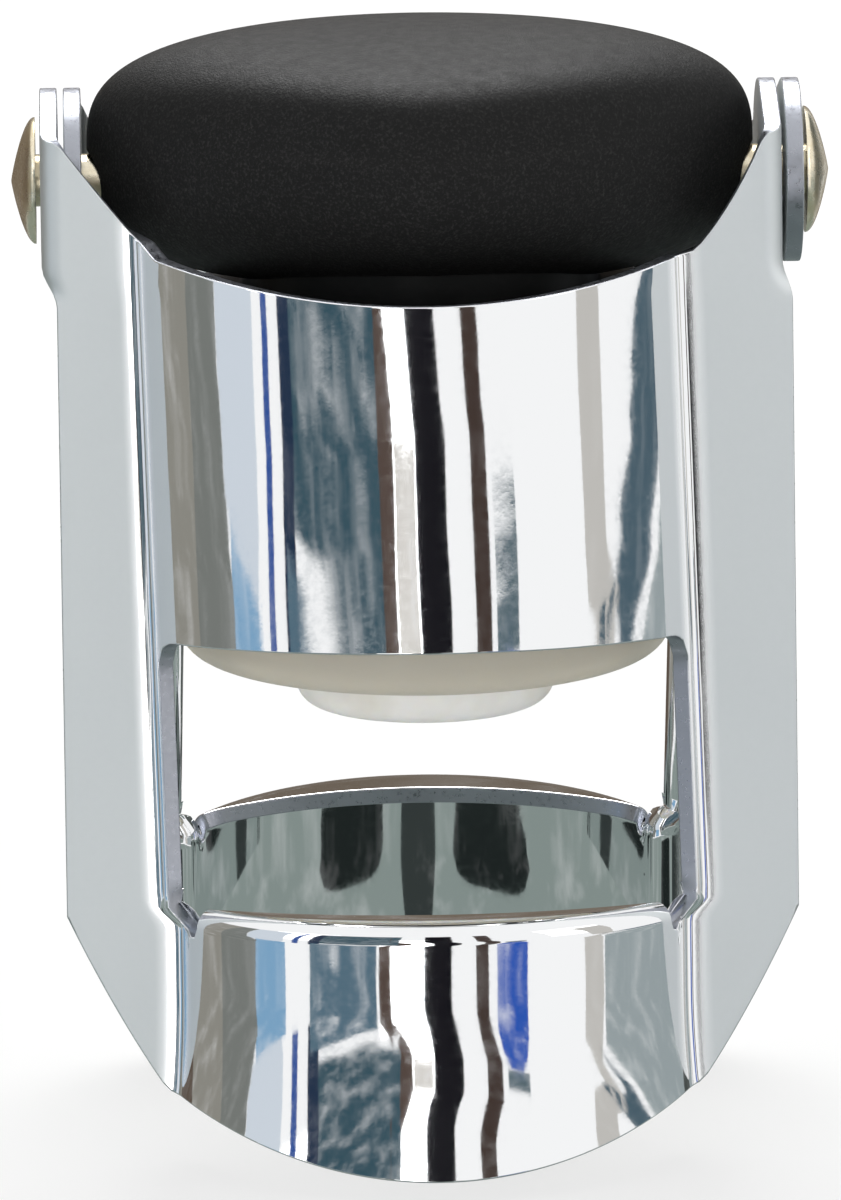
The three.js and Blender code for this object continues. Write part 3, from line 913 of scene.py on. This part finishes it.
# The lip reaches in by at least this much at the tab's sides
LEAST_LIP = 0.85 * MM
# Shares of the way from the bend to the fold between which satin turns to polish
POLISH_SHARES = (0.84, 0.97)
# Edges that turn by more than this are rounded
BEVEL_ANGLE = radians(42)


def trough_wall(wing, height):
    """The trough's outside radius and the sideways place of its centre at a height."""
    along = min(max(-height / wing.lip_drop, 0.0), 1.0)
    radius = blend(wing.trough_radius, wing.trough_low_radius, along)
    collar_top = wing.lip_drop + wing.lip_round
    gather = smooth_step(-height, collar_top - wing.collar_gather, collar_top)
    radius = blend(radius, wing.collar_radius, gather)
    if -height > wing.collar_waist:
        foot = wing.bottom_drop + FLARE_OVERRUN
        radius += wing.collar_flare * ((-height - wing.collar_waist) / (foot - wing.collar_waist)) ** 2
    middle = -max(0.0, height + collar_top) * tan(wing.trough_lean)
    return radius, middle


def neck_height(wing, near, across):
    """The sheet's upper edge at a distance from the middle."""
    across = abs(across)
    if across >= near:
        return wing.web_top
    if across >= wing.neck_half_width:
        bow = near - 2 * wing.shoulder_half_width + wing.neck_half_width
        pull = 2 * (near - wing.shoulder_half_width)
        gone = near - across
        part = 2 * gone / (pull + sqrt(max(pull * pull - 4 * bow * gone, 0.0)))
        return bowed(wing.web_top, -wing.shoulder_drop, -wing.neck_side, min(part, 1.0))
    part = (across / wing.neck_half_width + 1) / 2
    return bowed(-wing.neck_side, wing.neck_side - 2 * wing.neck_middle, -wing.neck_side, part)


def bottom_height(wing, across):
    """The sheet's lower edge at a distance from the middle."""
    across = abs(across)
    radius, join = wing.collar_edge_radius, wing.collar_edge_half_width
    reach = min(across, join)
    arc = radius - wing.bottom_drop - sqrt(radius * radius - reach * reach)
    if across <= join:
        return arc
    part = min((across - join) / (wing.flange_half_width - join), 1.0)
    return bowed(arc, (arc - wing.corner_drop) / 2 - wing.corner_bow, -wing.corner_drop, part)


def ear_outside(wing, side):
    """The outside of the ear on one side; the outer ear is on the left."""
    return wing.outer_ear if side < 0 else wing.inner_ear


def column_list():
    """Every column of the sheet from left to right, as (kind, side, part of the kind)."""
    kinds = ("bend", "flange", "fold", "strip", "notch")
    left = [(kind, -1, step / COLUMNS[kind]) for kind in kinds for step in range(COLUMNS[kind])]
    tab = [("tab", 0, step / COLUMNS["tab"]) for step in range(COLUMNS["tab"] + 1)]
    right = [
        (kind, 1, 1 - step / COLUMNS[kind])
        for kind in reversed(kinds) for step in range(1, COLUMNS[kind] + 1)
    ]
    return left + tab + right


def column_place(wing, column, height):
    """Where a column of the sheet's outside stands at a height, as (x, y)."""
    kind, side, part = column
    radius, middle = trough_wall(wing, height)
    depth, fold = wing.flange_depth, wing.fold_radius
    fold_x = sqrt((radius + fold) ** 2 - (depth + fold) ** 2)
    fold_angle = atan2(fold_x, depth + fold)
    strip_angle = acos((depth + wing.strip_proud) / radius)
    tab_angle = asin(wing.tab_half_width / radius)
    if kind in ("bend", "flange"):
        run_out = smooth_step(-height, wing.web_drop, wing.web_drop + wing.step_drop)
        edge = blend(ear_outside(wing, side), wing.flange_half_width, run_out)
        bend_x = edge - wing.bend_radius
        if kind == "flange":
            return blend(side * bend_x, middle + side * fold_x, part), -depth
        angle = radians(BEND_ANGLES[round(part * COLUMNS["bend"])])
        reach = blend(sin(angle), angle / (pi / 2), run_out)
        back = wing.bend_radius * (1 - cos(angle)) * (1 - run_out)
        return side * (bend_x + wing.bend_radius * reach), -depth + back
    if kind == "fold":
        angle = fold_angle * part
        return middle + side * fold_x - side * fold * sin(angle), -(depth + fold) + fold * cos(angle)
    angle = {
        "strip": side * blend(fold_angle, strip_angle, part),
        "notch": side * blend(strip_angle, tab_angle, part),
        "tab": tab_angle * (2 * part - 1),
    }[kind]
    return middle + radius * sin(angle), -radius * cos(angle)


def column_heights(wing, column):
    """The heights that divide a column into its rows, as (top, foot) of each region."""
    kind, side, part = column
    near = ear_outside(wing, side) - wing.sheet
    neck = -wing.neck_middle
    for _ in range(NECK_ROUNDS):
        x, y = column_place(wing, column, neck)
        neck = neck_height(wing, near, x)
    if kind == "bend":
        neck += web_slope(wing) * (y + wing.flange_depth)
    below_neck = min(-wing.web_drop, neck - LEAST_NECK)
    step = min(-wing.web_drop - wing.step_drop - STEP_GAP, below_neck - LEAST_STEP)
    # How far out on the flange the column lies: 0 at the fold, 1 at the outer edge
    outward = {"bend": 1.0, "flange": 1.0 - part}.get(kind, 0.0)
    top = -wing.window_top
    if kind == "notch":
        top -= wing.window_corner * rounding(1 - min(part * CORNER_PACE, 1.0))
    elif kind != "tab":
        top -= wing.window_corner
    collar_top = wing.lip_drop + wing.lip_round
    side_end = blend(-wing.lip_drop, -SIDE_OUTER, outward)
    if kind == "notch" and part > 0:
        rise_outer = (wing.notch_bottom - wing.lip_drop) * rounding(1 - 2 * part)
        rise_inner = (wing.notch_bottom - collar_top) * rounding(3 * part - 2)
        side_end = -(wing.notch_bottom - rise_outer - rise_inner)
    if kind == "tab":
        side_end = -collar_top
    foot = blend(-FOOT_INNER, -FOOT_OUTER, outward)
    bottom = -wing.bottom_drop
    for _ in range(BOTTOM_ROUNDS):
        x, _ = column_place(wing, column, bottom)
        bottom = bottom_height(wing, x)
    return {
        "neck": (neck, below_neck), "step": (below_neck, step), "trough": (step, top),
        "side": (top, side_end), "foot": (side_end, foot), "skirt": (foot, bottom),
    }


def lip_path(wing, column):
    """The tab's inward lip and rounded shoulder, from its edge down to the collar's wall."""
    radius, _ = trough_wall(wing, -(wing.lip_drop + wing.lip_round))
    angle = asin(wing.tab_half_width / radius) * (2 * column[2] - 1)
    centre = wing.lip_curve - wing.lip_reach
    toward = centre * cos(angle)
    start = sqrt(toward ** 2 + wing.lip_curve ** 2 - centre ** 2) - toward
    start = min(start, radius - LEAST_LIP)
    turn_start = radius - wing.lip_round
    flat = max(0.0, turn_start - start)
    first = asin(max(0.0, min((start - turn_start) / wing.lip_round, 1.0)))
    length = flat + wing.lip_round * (pi / 2 - first)
    points = []
    for row in range(ROWS["lip"] + 1):
        gone = length * row / ROWS["lip"]
        if gone <= flat:
            out, height = start + gone, -wing.lip_drop
        else:
            bent = first + (gone - flat) / wing.lip_round
            out = turn_start + wing.lip_round * sin(bent)
            height = -wing.lip_drop - wing.lip_round * (1 - cos(bent))
        points.append((out * sin(angle), -out * cos(angle), height))
    return points


def web_contact(wing):
    """The angle at which the straight upper edge of an ear's web meets the ear's round end."""
    reach = sqrt(wing.flange_depth ** 2 + wing.web_top ** 2)
    return pi - acos(wing.ear_radius / reach) - atan2(wing.web_top, wing.flange_depth)


def web_slope(wing):
    """The rise of that edge, towards the ear's round end."""
    top = web_contact(wing)
    rise = wing.ear_radius * sin(top) - wing.web_top
    return rise / (wing.ear_radius * cos(top) + wing.flange_depth)


def column_polish(column):
    """0 on the satin flanges and ears, 1 in the mirror-bright trough and collar."""
    kind, _, part = column
    if kind == "bend":
        return 0.0
    return smooth_step(part, *POLISH_SHARES) if kind == "flange" else 1.0


def wing_sheet(wing, name, hole):
    """The outside of a wing's sheet as one skin, hanging straight down from the rivet's line."""
    mould = bmesh.new()
    polish = mould.verts.layers.float.new("polish")
    grid = []
    for column in column_list():
        heights = column_heights(wing, column)
        tab = column[0] == "tab"
        window = tab or (column[0] == "notch" and column[2] > 0)
        rows = {"lip": [mould.verts.new(point) for point in lip_path(wing, column)]} if tab else {}
        last = None
        for region, (top, low) in heights.items():
            if region == "side" and window:
                continue
            if region == "foot" and tab:
                line = [rows["lip"][-1]]
            elif last is None or (region == "foot" and window):
                line = [mould.verts.new((*column_place(wing, column, top), top))]
            else:
                line = [last]
            for step in range(1, ROWS[region] + 1):
                height = blend(top, low, step / ROWS[region])
                line.append(mould.verts.new((*column_place(wing, column, height), height)))
            rows[region] = line
            last = line[-1]
        for line in rows.values():
            for vert in line:
                vert[polish] = column_polish(column)
        grid.append(rows)
    for left, right in zip(grid, grid[1:]):
        for region in [name for name in left if name in right]:
            pairs = list(zip(left[region], right[region]))
            for (a, b), (c, d) in zip(pairs, pairs[1:]):
                mould.faces.new((a, c, d, b))
    ear_web(mould, wing, -1, grid[0]["neck"], hole)
    ear_web(mould, wing, 1, grid[-1]["neck"], hole)
    bmesh.ops.recalc_face_normals(mould, faces=mould.faces)
    front = min(mould.faces, key=lambda face: face.calc_center_median().y)
    if front.normal.y > 0:
        bmesh.ops.reverse_faces(mould, faces=mould.faces)
    return mesh_from(mould, name)


def ear_web(mould, wing, side, near_line, hole):
    """One ear: rings of quads from the rivet's hole out to the ear's edge and the flange's bend."""
    x = side * ear_outside(wing, side)
    radius = wing.ear_radius
    rim = list(near_line)
    start = near_line[-1].co
    for step in range(1, EAR["lower edge"]):
        part = step / EAR["lower edge"]
        rim.append(mould.verts.new((x, blend(start.y, 0, part), blend(start.z, -radius, part))))
    for step in range(EAR["round"] + 1):
        angle = blend(-pi / 2, web_contact(wing), step / EAR["round"])
        rim.append(mould.verts.new((x, radius * cos(angle), radius * sin(angle))))
    end = rim[-1].co.copy()
    start = near_line[0].co
    for step in range(1, EAR["upper edge"]):
        part = step / EAR["upper edge"]
        rim.append(mould.verts.new((x, blend(end.y, start.y, part), blend(end.z, start.z, part))))
    rings = []
    for ring in range(EAR["rings"]):
        part = ring / EAR["rings"]
        line = []
        for vert in rim:
            angle = atan2(vert.co.z, vert.co.y)
            y = blend(hole * cos(angle), vert.co.y, part)
            z = blend(hole * sin(angle), vert.co.z, part)
            line.append(mould.verts.new((x, y, z)))
        rings.append(line)
    rings.append(rim)
    for low, high in zip(rings, rings[1:]):
        for step in range(len(rim)):
            after = (step + 1) % len(rim)
            mould.faces.new((low[step], low[after], high[after], high[step]))


class STOPPER_OT_wings(bpy.types.Operator):
    """Build both chromed wings; the rear one is the front one turned half round"""

    bl_idname = "stopper.wings"
    bl_label = "Wings"

    def execute(self, context):
        wing = context.scene.stopper_wing
        rivet = context.scene.stopper_rivet
        looks = context.scene.stopper_finishes
        plate = material_of(
            "Chromium plate on pressed steel", bright_chrome,
            looks.chrome_bright, looks.chrome_satin, looks.chrome_pinhole,
        )
        edge = material_of("Chromium plate on a sheared edge", sheared_chrome, looks.chrome_edge)
        lift = Matrix.Translation((0, 0, rivet.pivot_height))
        wings = (("front_wing", 0, wing.front_tilt), ("rear_wing", pi, wing.rear_tilt))
        for node, half_turn, tilt in wings:
            mesh = wing_sheet(wing, node + "_sheet", rivet.bore_radius)
            mesh.transform(lift @ Matrix.Rotation(half_turn, 4, "Z") @ Matrix.Rotation(-tilt, 4, "X"))
            piece = finished_piece(node + "_sheet", mesh, plate, node, node)
            mesh.materials.append(edge)
            wall = piece.modifiers.new("Sheet", "SOLIDIFY")
            wall.material_offset_rim = 1
            wall.thickness = wing.sheet
            wall.offset = -1
            wall.use_even_offset = False
            wall.use_quality_normals = True
            edges = piece.modifiers.new("Sheared edges", "BEVEL")
            edges.width = wing.edge_round
            edges.segments = 2
            edges.limit_method = "ANGLE"
            edges.angle_limit = BEVEL_ANGLE
            edges.use_clamp_overlap = False
            edges.harden_normals = True
        return {"FINISHED"}


# Stage

# Lower and upper end, in millimetres, of the cards that span all that is mirrored
LOW, HIGH = -190, 340
# Upright cards that the chrome mirrors: name, colour, mist, and rows of (height in millimetres,
# first and last azimuth in degrees); azimuth 0 is towards the camera and right is positive
CARDS = (
    ("left_rim_card", "#6f6458", 0.3, ((LOW, -204, -133), (HIGH, -204, -133))),
    ("brown_edge_card", "#5c5046", 0.1, ((LOW, -133, -112), (HIGH, -133, -112))),
    ("beige_card", "#8f8d85", 0.3, ((LOW, -112, -93), (HIGH, -112, -93))),
    ("taupe_card", "#797c78", 0.15, (
        (LOW, -93, -80), (-60, -93, -74), (-30, -93, -79), (HIGH, -93, -84))),
    ("lavender_card", "#d3dbe4", 0.0, ((-44, -76.5, -63), (-30, -78.8, -62), (HIGH, -83.8, -64))),
    ("blue_line_card", "#35559a", 0.1, ((-42, -58, -55.5), (HIGH, -58, -55.5))),
    ("navy_card", "#25344b", 0.1, ((-42, -51, -46.5), (HIGH, -51, -46.5))),
    ("sky_card", "#7fa8c9", 0.3, ((LOW, -75, -61), (-44, -75, -61))),
    ("slate_card", "#38535f", 0.42, ((-14, -46.5, -14), (HIGH, -46.5, -14))),
    ("low_slate_card", "#567080", 0.7, ((LOW, -52, -24), (-22, -50, -23))),
    ("left_brown_card", "#54463f", 0.1, (
        (LOW, -22.5, -18), (-26, -22, -17.5), (-14, -19, -13.5), (0, -16, -9.5),
        (30, -15, -8.5), (46, -17.5, -11), (60, -20, -14), (HIGH, -22, -16))),
    ("mixed_card", "#dcd8d2", 0.9, ((2, -9, -1), (30, -8.3, -0.8))),
    ("dark_card", "#141318", 0.0, (
        (LOW, -4.5, 6.5), (-26, -4.5, 6.5), (-14, -2.5, 8.5), (0, -0.5, 10.8),
        (30, -0.5, 11), (46, -2.5, 9), (60, -4, 7.2), (HIGH, -4, 7))),
    ("right_brown_card", "#443833", 0.1, (
        (LOW, 16.5, 21.5), (-26, 16.5, 21.5), (-14, 18.3, 24), (0, 20.3, 26.3),
        (30, 20.5, 26.5), (46, 18.8, 24.6), (60, 17.3, 23.2), (HIGH, 17, 23))),
    ("smoke_card", "#586a72", 0.4, ((2, 28.5, 37), (17, 28.5, 37))),
    ("blue_card", "#2f58b4", 0.6, ((LOW, 24, 37), (-22, 25, 37.5), (-8, 27, 36.5), (1, 30, 34.5))),
    ("dove_card", "#c6c3be", 0.1, (
        (LOW, 64, 76), (-42, 62, 70), (-31, 71, 82), (-18, 66, 76), (HIGH, 63, 80))),
    ("right_slate_card", "#4b606c", 0.12, (
        (-46, 68, 112), (-42, 78, 112), (-38.5, 81, 112), (-35, 79, 112), (-31, 73, 112),
        (-27.5, 69, 112), (-25.5, 70, 112), (-22, 92, 112), (-19.5, 110, 112))),
    ("grey_card", "#9aa4a6", 0.3, ((LOW, 72, 117), (-52, 72, 117))),
    ("right_rim_card", "#4a4f4d", 0.15, ((LOW, 117, 150), (HIGH, 117, 150))),
)
# The one card that pales towards its lower edge
FADING_CARD = "slate_card"
# The table under it all: colour and mist
TABLE = ("#87938f", 0.2)
# Darker shapes that lie on the table: name, colour, azimuth of the middle, half width in degrees,
# nearest and farthest edge in millimetres
BLOTS = (
    ("left_blot_card", "#1f2524", 34, 16, 372, 474),
    ("right_blot_card", "#1f2524", -33, 19, 360, 474),
    ("dark_strip_card", "#353b3a", 2, 8, 250, 590),
)
BLOT_MIST = 0.1
BLOT_LIFT = 2 * MM
# Steps across an upright card, round the table and across a blot
CARD_STEPS, TABLE_STEPS, BLOT_STEPS = 8, 48, 16
# Soft boxes: name, place and target in metres, width in metres, power in watts
LAMPS = (
    ("top_soft_box", (0.0, 0.5, 0.8), (0, 0, 0.005), 0.6, 8.8),
    ("left_soft_box", (-0.8, -0.5, 0.3), (0, 0, 0.005), 0.5, 1.0),
    ("right_soft_box", (0.8, -0.4, 0.35), (0, 0, 0.005), 0.5, 0.7),
    ("low_soft_box", (-0.1, -0.7, 0.02), (0, 0, 0), 0.35, 1.3),
)


def painted_card(tree, place, colour, mist, fades):
    """Painted card, unlit: it only shows as a mirror image in the chrome and the brass."""
    cloud_size, ragged_depth = 100 * MM, 30 * MM
    fade_top, fade_foot, slant = -2 * MM, -13 * MM, 0.056
    # A mirror this upright stretches heights about tenfold, so the clouds are drawn that much flatter
    flat = add_node(tree, "ShaderNodeMapping", {"Vector": place, "Scale": (1.0, 1.0, 12.0)})
    cloud = add_node(tree, "ShaderNodeTexNoise", {
        "Vector": flat, "Scale": per_size(cloud_size), "Detail": 5.0, "Roughness": 0.62,
    })
    veil = add_node(tree, "ShaderNodeMapRange", {
        "Value": cloud, "From Min": 0.5, "From Max": 0.68, "To Max": mist,
    })
    if fades:
        axes = add_node(tree, "ShaderNodeSeparateXYZ", {"Vector": place}).outputs
        level = axes["Z"]
        for value, factor in ((cloud, -ragged_depth), (axes["X"], -slant)):
            terms = {0: value, 1: factor, 2: level}
            level = add_node(tree, "ShaderNodeMath", terms, operation="MULTIPLY_ADD")
        low = add_node(tree, "ShaderNodeMapRange", {
            "Value": level, "From Min": fade_top, "From Max": fade_foot,
        })
        veil = add_node(tree, "ShaderNodeMath", {0: veil, 1: low}, operation="MAXIMUM")
    shade = add_node(tree, "ShaderNodeMix", {
        0: veil, 6: linear(colour), 7: linear("#fbfbfb"),
    }, data_type="RGBA").outputs[2]
    return add_node(tree, "ShaderNodeEmission", {"Color": shade})


def seen_rays(tree):
    """1 for rays from the camera, a mirror or a clear body, 0 for the rays that light things."""
    path = add_node(tree, "ShaderNodeLightPath").outputs
    seen = path["Is Camera Ray"]
    for kind in ("Is Glossy Ray", "Is Transmission Ray"):
        seen = add_node(tree, "ShaderNodeMath", {0: seen, 1: path[kind]}, operation="MAXIMUM").outputs[0]
    return seen


def painted_board(tree, place, pale, mottled):
    """Pale matt board: near white for the camera and for mirror images, and it keeps the shadow."""
    mottle_size, glow_share = 50 * MM, 0.72
    lifted = add_node(tree, "ShaderNodeMath", {0: seen_rays(tree), 1: glow_share}, operation="MULTIPLY")
    mottle = add_node(tree, "ShaderNodeTexNoise", {
        "Vector": place, "Scale": per_size(mottle_size), "Detail": 3.0, "Roughness": 0.5,
    })
    paint = add_node(tree, "ShaderNodeMix", {0: mottle, 6: pale, 7: mottled}, data_type="RGBA")
    board = add_node(tree, "ShaderNodeBsdfDiffuse", {"Color": paint.outputs[2]})
    glow = add_node(tree, "ShaderNodeEmission", {"Color": linear("#ffffff")})
    return add_node(tree, "ShaderNodeMixShader", {0: lifted, 1: board, 2: glow})


def white_world(ambient):
    """White behind everything for the camera and for mirror images, and a soft even light."""
    world = bpy.data.worlds.new("White studio")
    world.use_nodes = True
    tree = world.node_tree
    tree.nodes.clear()
    strength = add_node(tree, "ShaderNodeMapRange", {"Value": seen_rays(tree), "To Min": ambient})
    sky = add_node(tree, "ShaderNodeBackground", {"Color": linear("#ffffff"), "Strength": strength})
    add_node(tree, "ShaderNodeOutputWorld", {"Surface": sky})
    return world


def round_place(azimuth, distance, height):
    """A point at an azimuth in degrees, where 0 is towards the camera."""
    angle = radians(azimuth)
    return distance * sin(angle), -distance * cos(angle), height


class STOPPER_OT_stage(bpy.types.Operator):
    """Build the floor, the reflected cards, the soft lamps and the camera"""

    bl_idname = "stopper.stage"
    bl_label = "Stage"

    def execute(self, context):
        scene = context.scene
        stage = scene.stopper_stage
        scene.view_settings.view_transform = "Standard"
        scene.world = white_world(stage.ambient)
        self.floor(scene, stage)
        for name, colour, mist, rows in CARDS:
            lines = [[
                round_place(blend(start, end, step / CARD_STEPS), stage.card_radius, height * MM)
                for step in range(CARD_STEPS + 1)
            ] for height, start, end in rows]
            self.card(scene, name, lines, colour, mist)
        table = -stage.table_drop
        rim = [360 * step / TABLE_STEPS for step in range(TABLE_STEPS + 1)]
        self.card(scene, "table_card", [
            [(0.0, 0.0, table)] * len(rim),
            [round_place(azimuth, stage.card_radius, table) for azimuth in rim],
        ], *TABLE)
        for name, colour, middle, half, near, far in BLOTS:
            inner, outer = [], []
            for step in range(BLOT_STEPS + 1):
                part = 2 * step / BLOT_STEPS - 1
                centre = (near + far) / 2 * MM
                bulge = (1 - part ** 4) ** 0.5 * (far - near) / 2 * MM
                for line, distance in ((inner, centre - bulge), (outer, centre + bulge)):
                    line.append(round_place(middle + half * part, distance, BLOT_LIFT + table))
            self.card(scene, name, [inner, outer], colour, BLOT_MIST)
        for name, place, target, width, power in LAMPS:
            data = bpy.data.lights.new(name, "AREA")
            data.shape = "SQUARE"
            data.size = width
            data.energy = power
            lamp = bpy.data.objects.new(name, data)
            lamp.location = place
            lamp.rotation_euler = (Vector(target) - Vector(place)).to_track_quat("-Z", "Y").to_euler()
            scene.collection.objects.link(lamp)
        self.camera(scene, stage)
        return {"FINISHED"}

    def floor(self, scene, stage):
        """The board that the stopper rests on, level with the CAD model's lowest point."""
        mould = bmesh.new()
        half, low = stage.floor_half_width, cad_box[0][2]
        turns = ((-half, -half), (half, -half), (half, half), (-half, half))
        mould.faces.new([mould.verts.new((x, y, low)) for x, y in turns])
        mesh = mesh_from(mould, "studio_floor")
        looks = scene.stopper_finishes
        board = material_of("Matt painted board", painted_board, looks.floor_pale, looks.floor_mottle)
        mesh.materials.append(board)
        floor = bpy.data.objects.new("studio_floor", mesh)
        scene.collection.objects.link(floor)
        floor.visible_glossy = False

    def card(self, scene, name, lines, colour, mist):
        """A card through rows of points, seen by glossy rays alone."""
        mould = bmesh.new()
        rows = [[mould.verts.new(point) for point in line] for line in lines]
        for low, high in zip(rows, rows[1:]):
            for a, b, c, d in zip(low, low[1:], high[1:], high):
                mould.faces.new((a, b, c, d))
        bmesh.ops.remove_doubles(mould, verts=mould.verts, dist=SAME_POINT)
        mesh = mesh_from(mould, name)
        title = "Painted card, " + name.replace("_card", "").replace("_", " ")
        mesh.materials.append(material_of(title, painted_card, colour, mist, name == FADING_CARD))
        card = bpy.data.objects.new(name, mesh)
        scene.collection.objects.link(card)
        for ray in ("camera", "diffuse", "transmission", "volume_scatter", "shadow"):
            setattr(card, "visible_" + ray, False)

    def camera(self, scene, stage):
        """The camera that the photograph was taken with."""
        data = bpy.data.cameras.new("photograph_camera")
        data.sensor_width = stage.camera_sensor
        data.lens = stage.camera_lens
        data.clip_start = stage.clip_start
        data.clip_end = stage.clip_end
        camera = bpy.data.objects.new("photograph_camera", data)
        aim = Vector((stage.aim_across, 0, stage.aim_height))
        about, rise = stage.camera_turn, stage.camera_rise
        away = Vector((sin(about) * cos(rise), -cos(about) * cos(rise), sin(rise)))
        camera.location = aim + away * stage.camera_distance
        facing = (-away).to_track_quat("-Z", "Y").to_matrix().to_4x4()
        rolled = facing @ Matrix.Rotation(stage.camera_roll, 4, "Z")
        camera.rotation_euler = rolled.to_euler()
        scene.collection.objects.link(camera)
        scene.camera = camera


# Sidebar and registration

STEPS = (
    STOPPER_OT_cap, STOPPER_OT_carrier, STOPPER_OT_seal,
    STOPPER_OT_rivet, STOPPER_OT_wings, STOPPER_OT_stage,
)

GROUPS = (
    ("stopper_cap", CapSizes),
    ("stopper_carrier", CarrierSizes),
    ("stopper_seal", SealSizes),
    ("stopper_rivet", RivetSizes),
    ("stopper_wing", WingSizes),
    ("stopper_stage", StageSizes),
    ("stopper_finishes", Finishes),
)


class STOPPER_PT_sidebar(bpy.types.Panel):
    """The stopper's pieces in the order in which they are built"""

    bl_idname = "STOPPER_PT_sidebar"
    bl_label = "Champagne stopper"
    bl_space_type = "VIEW_3D"
    bl_region_type = "UI"
    bl_category = "Stopper"

    def draw(self, context):
        for step in STEPS:
            self.layout.operator(step.bl_idname)
        for attribute, group in GROUPS:
            box = self.layout.box()
            box.label(text=group.__doc__)
            for name in group.__annotations__:
                box.prop(getattr(context.scene, attribute), name)


def register():
    for attribute, group in GROUPS:
        bpy.utils.register_class(group)
        setattr(bpy.types.Scene, attribute, PointerProperty(type=group))
    for step in STEPS:
        bpy.utils.register_class(step)
    bpy.utils.register_class(STOPPER_PT_sidebar)


def unregister():
    bpy.utils.unregister_class(STOPPER_PT_sidebar)
    for step in reversed(STEPS):
        bpy.utils.unregister_class(step)
    for attribute, group in reversed(GROUPS):
        delattr(bpy.types.Scene, attribute)
        bpy.utils.unregister_class(group)


def main():
    """Builds everything in order."""
    register()
    bpy.ops.stopper.cap()
    bpy.ops.stopper.carrier()
    bpy.ops.stopper.seal()
    bpy.ops.stopper.rivet()
    bpy.ops.stopper.wings()
    bpy.ops.stopper.stage()


if __name__ == "__main__":
    main()
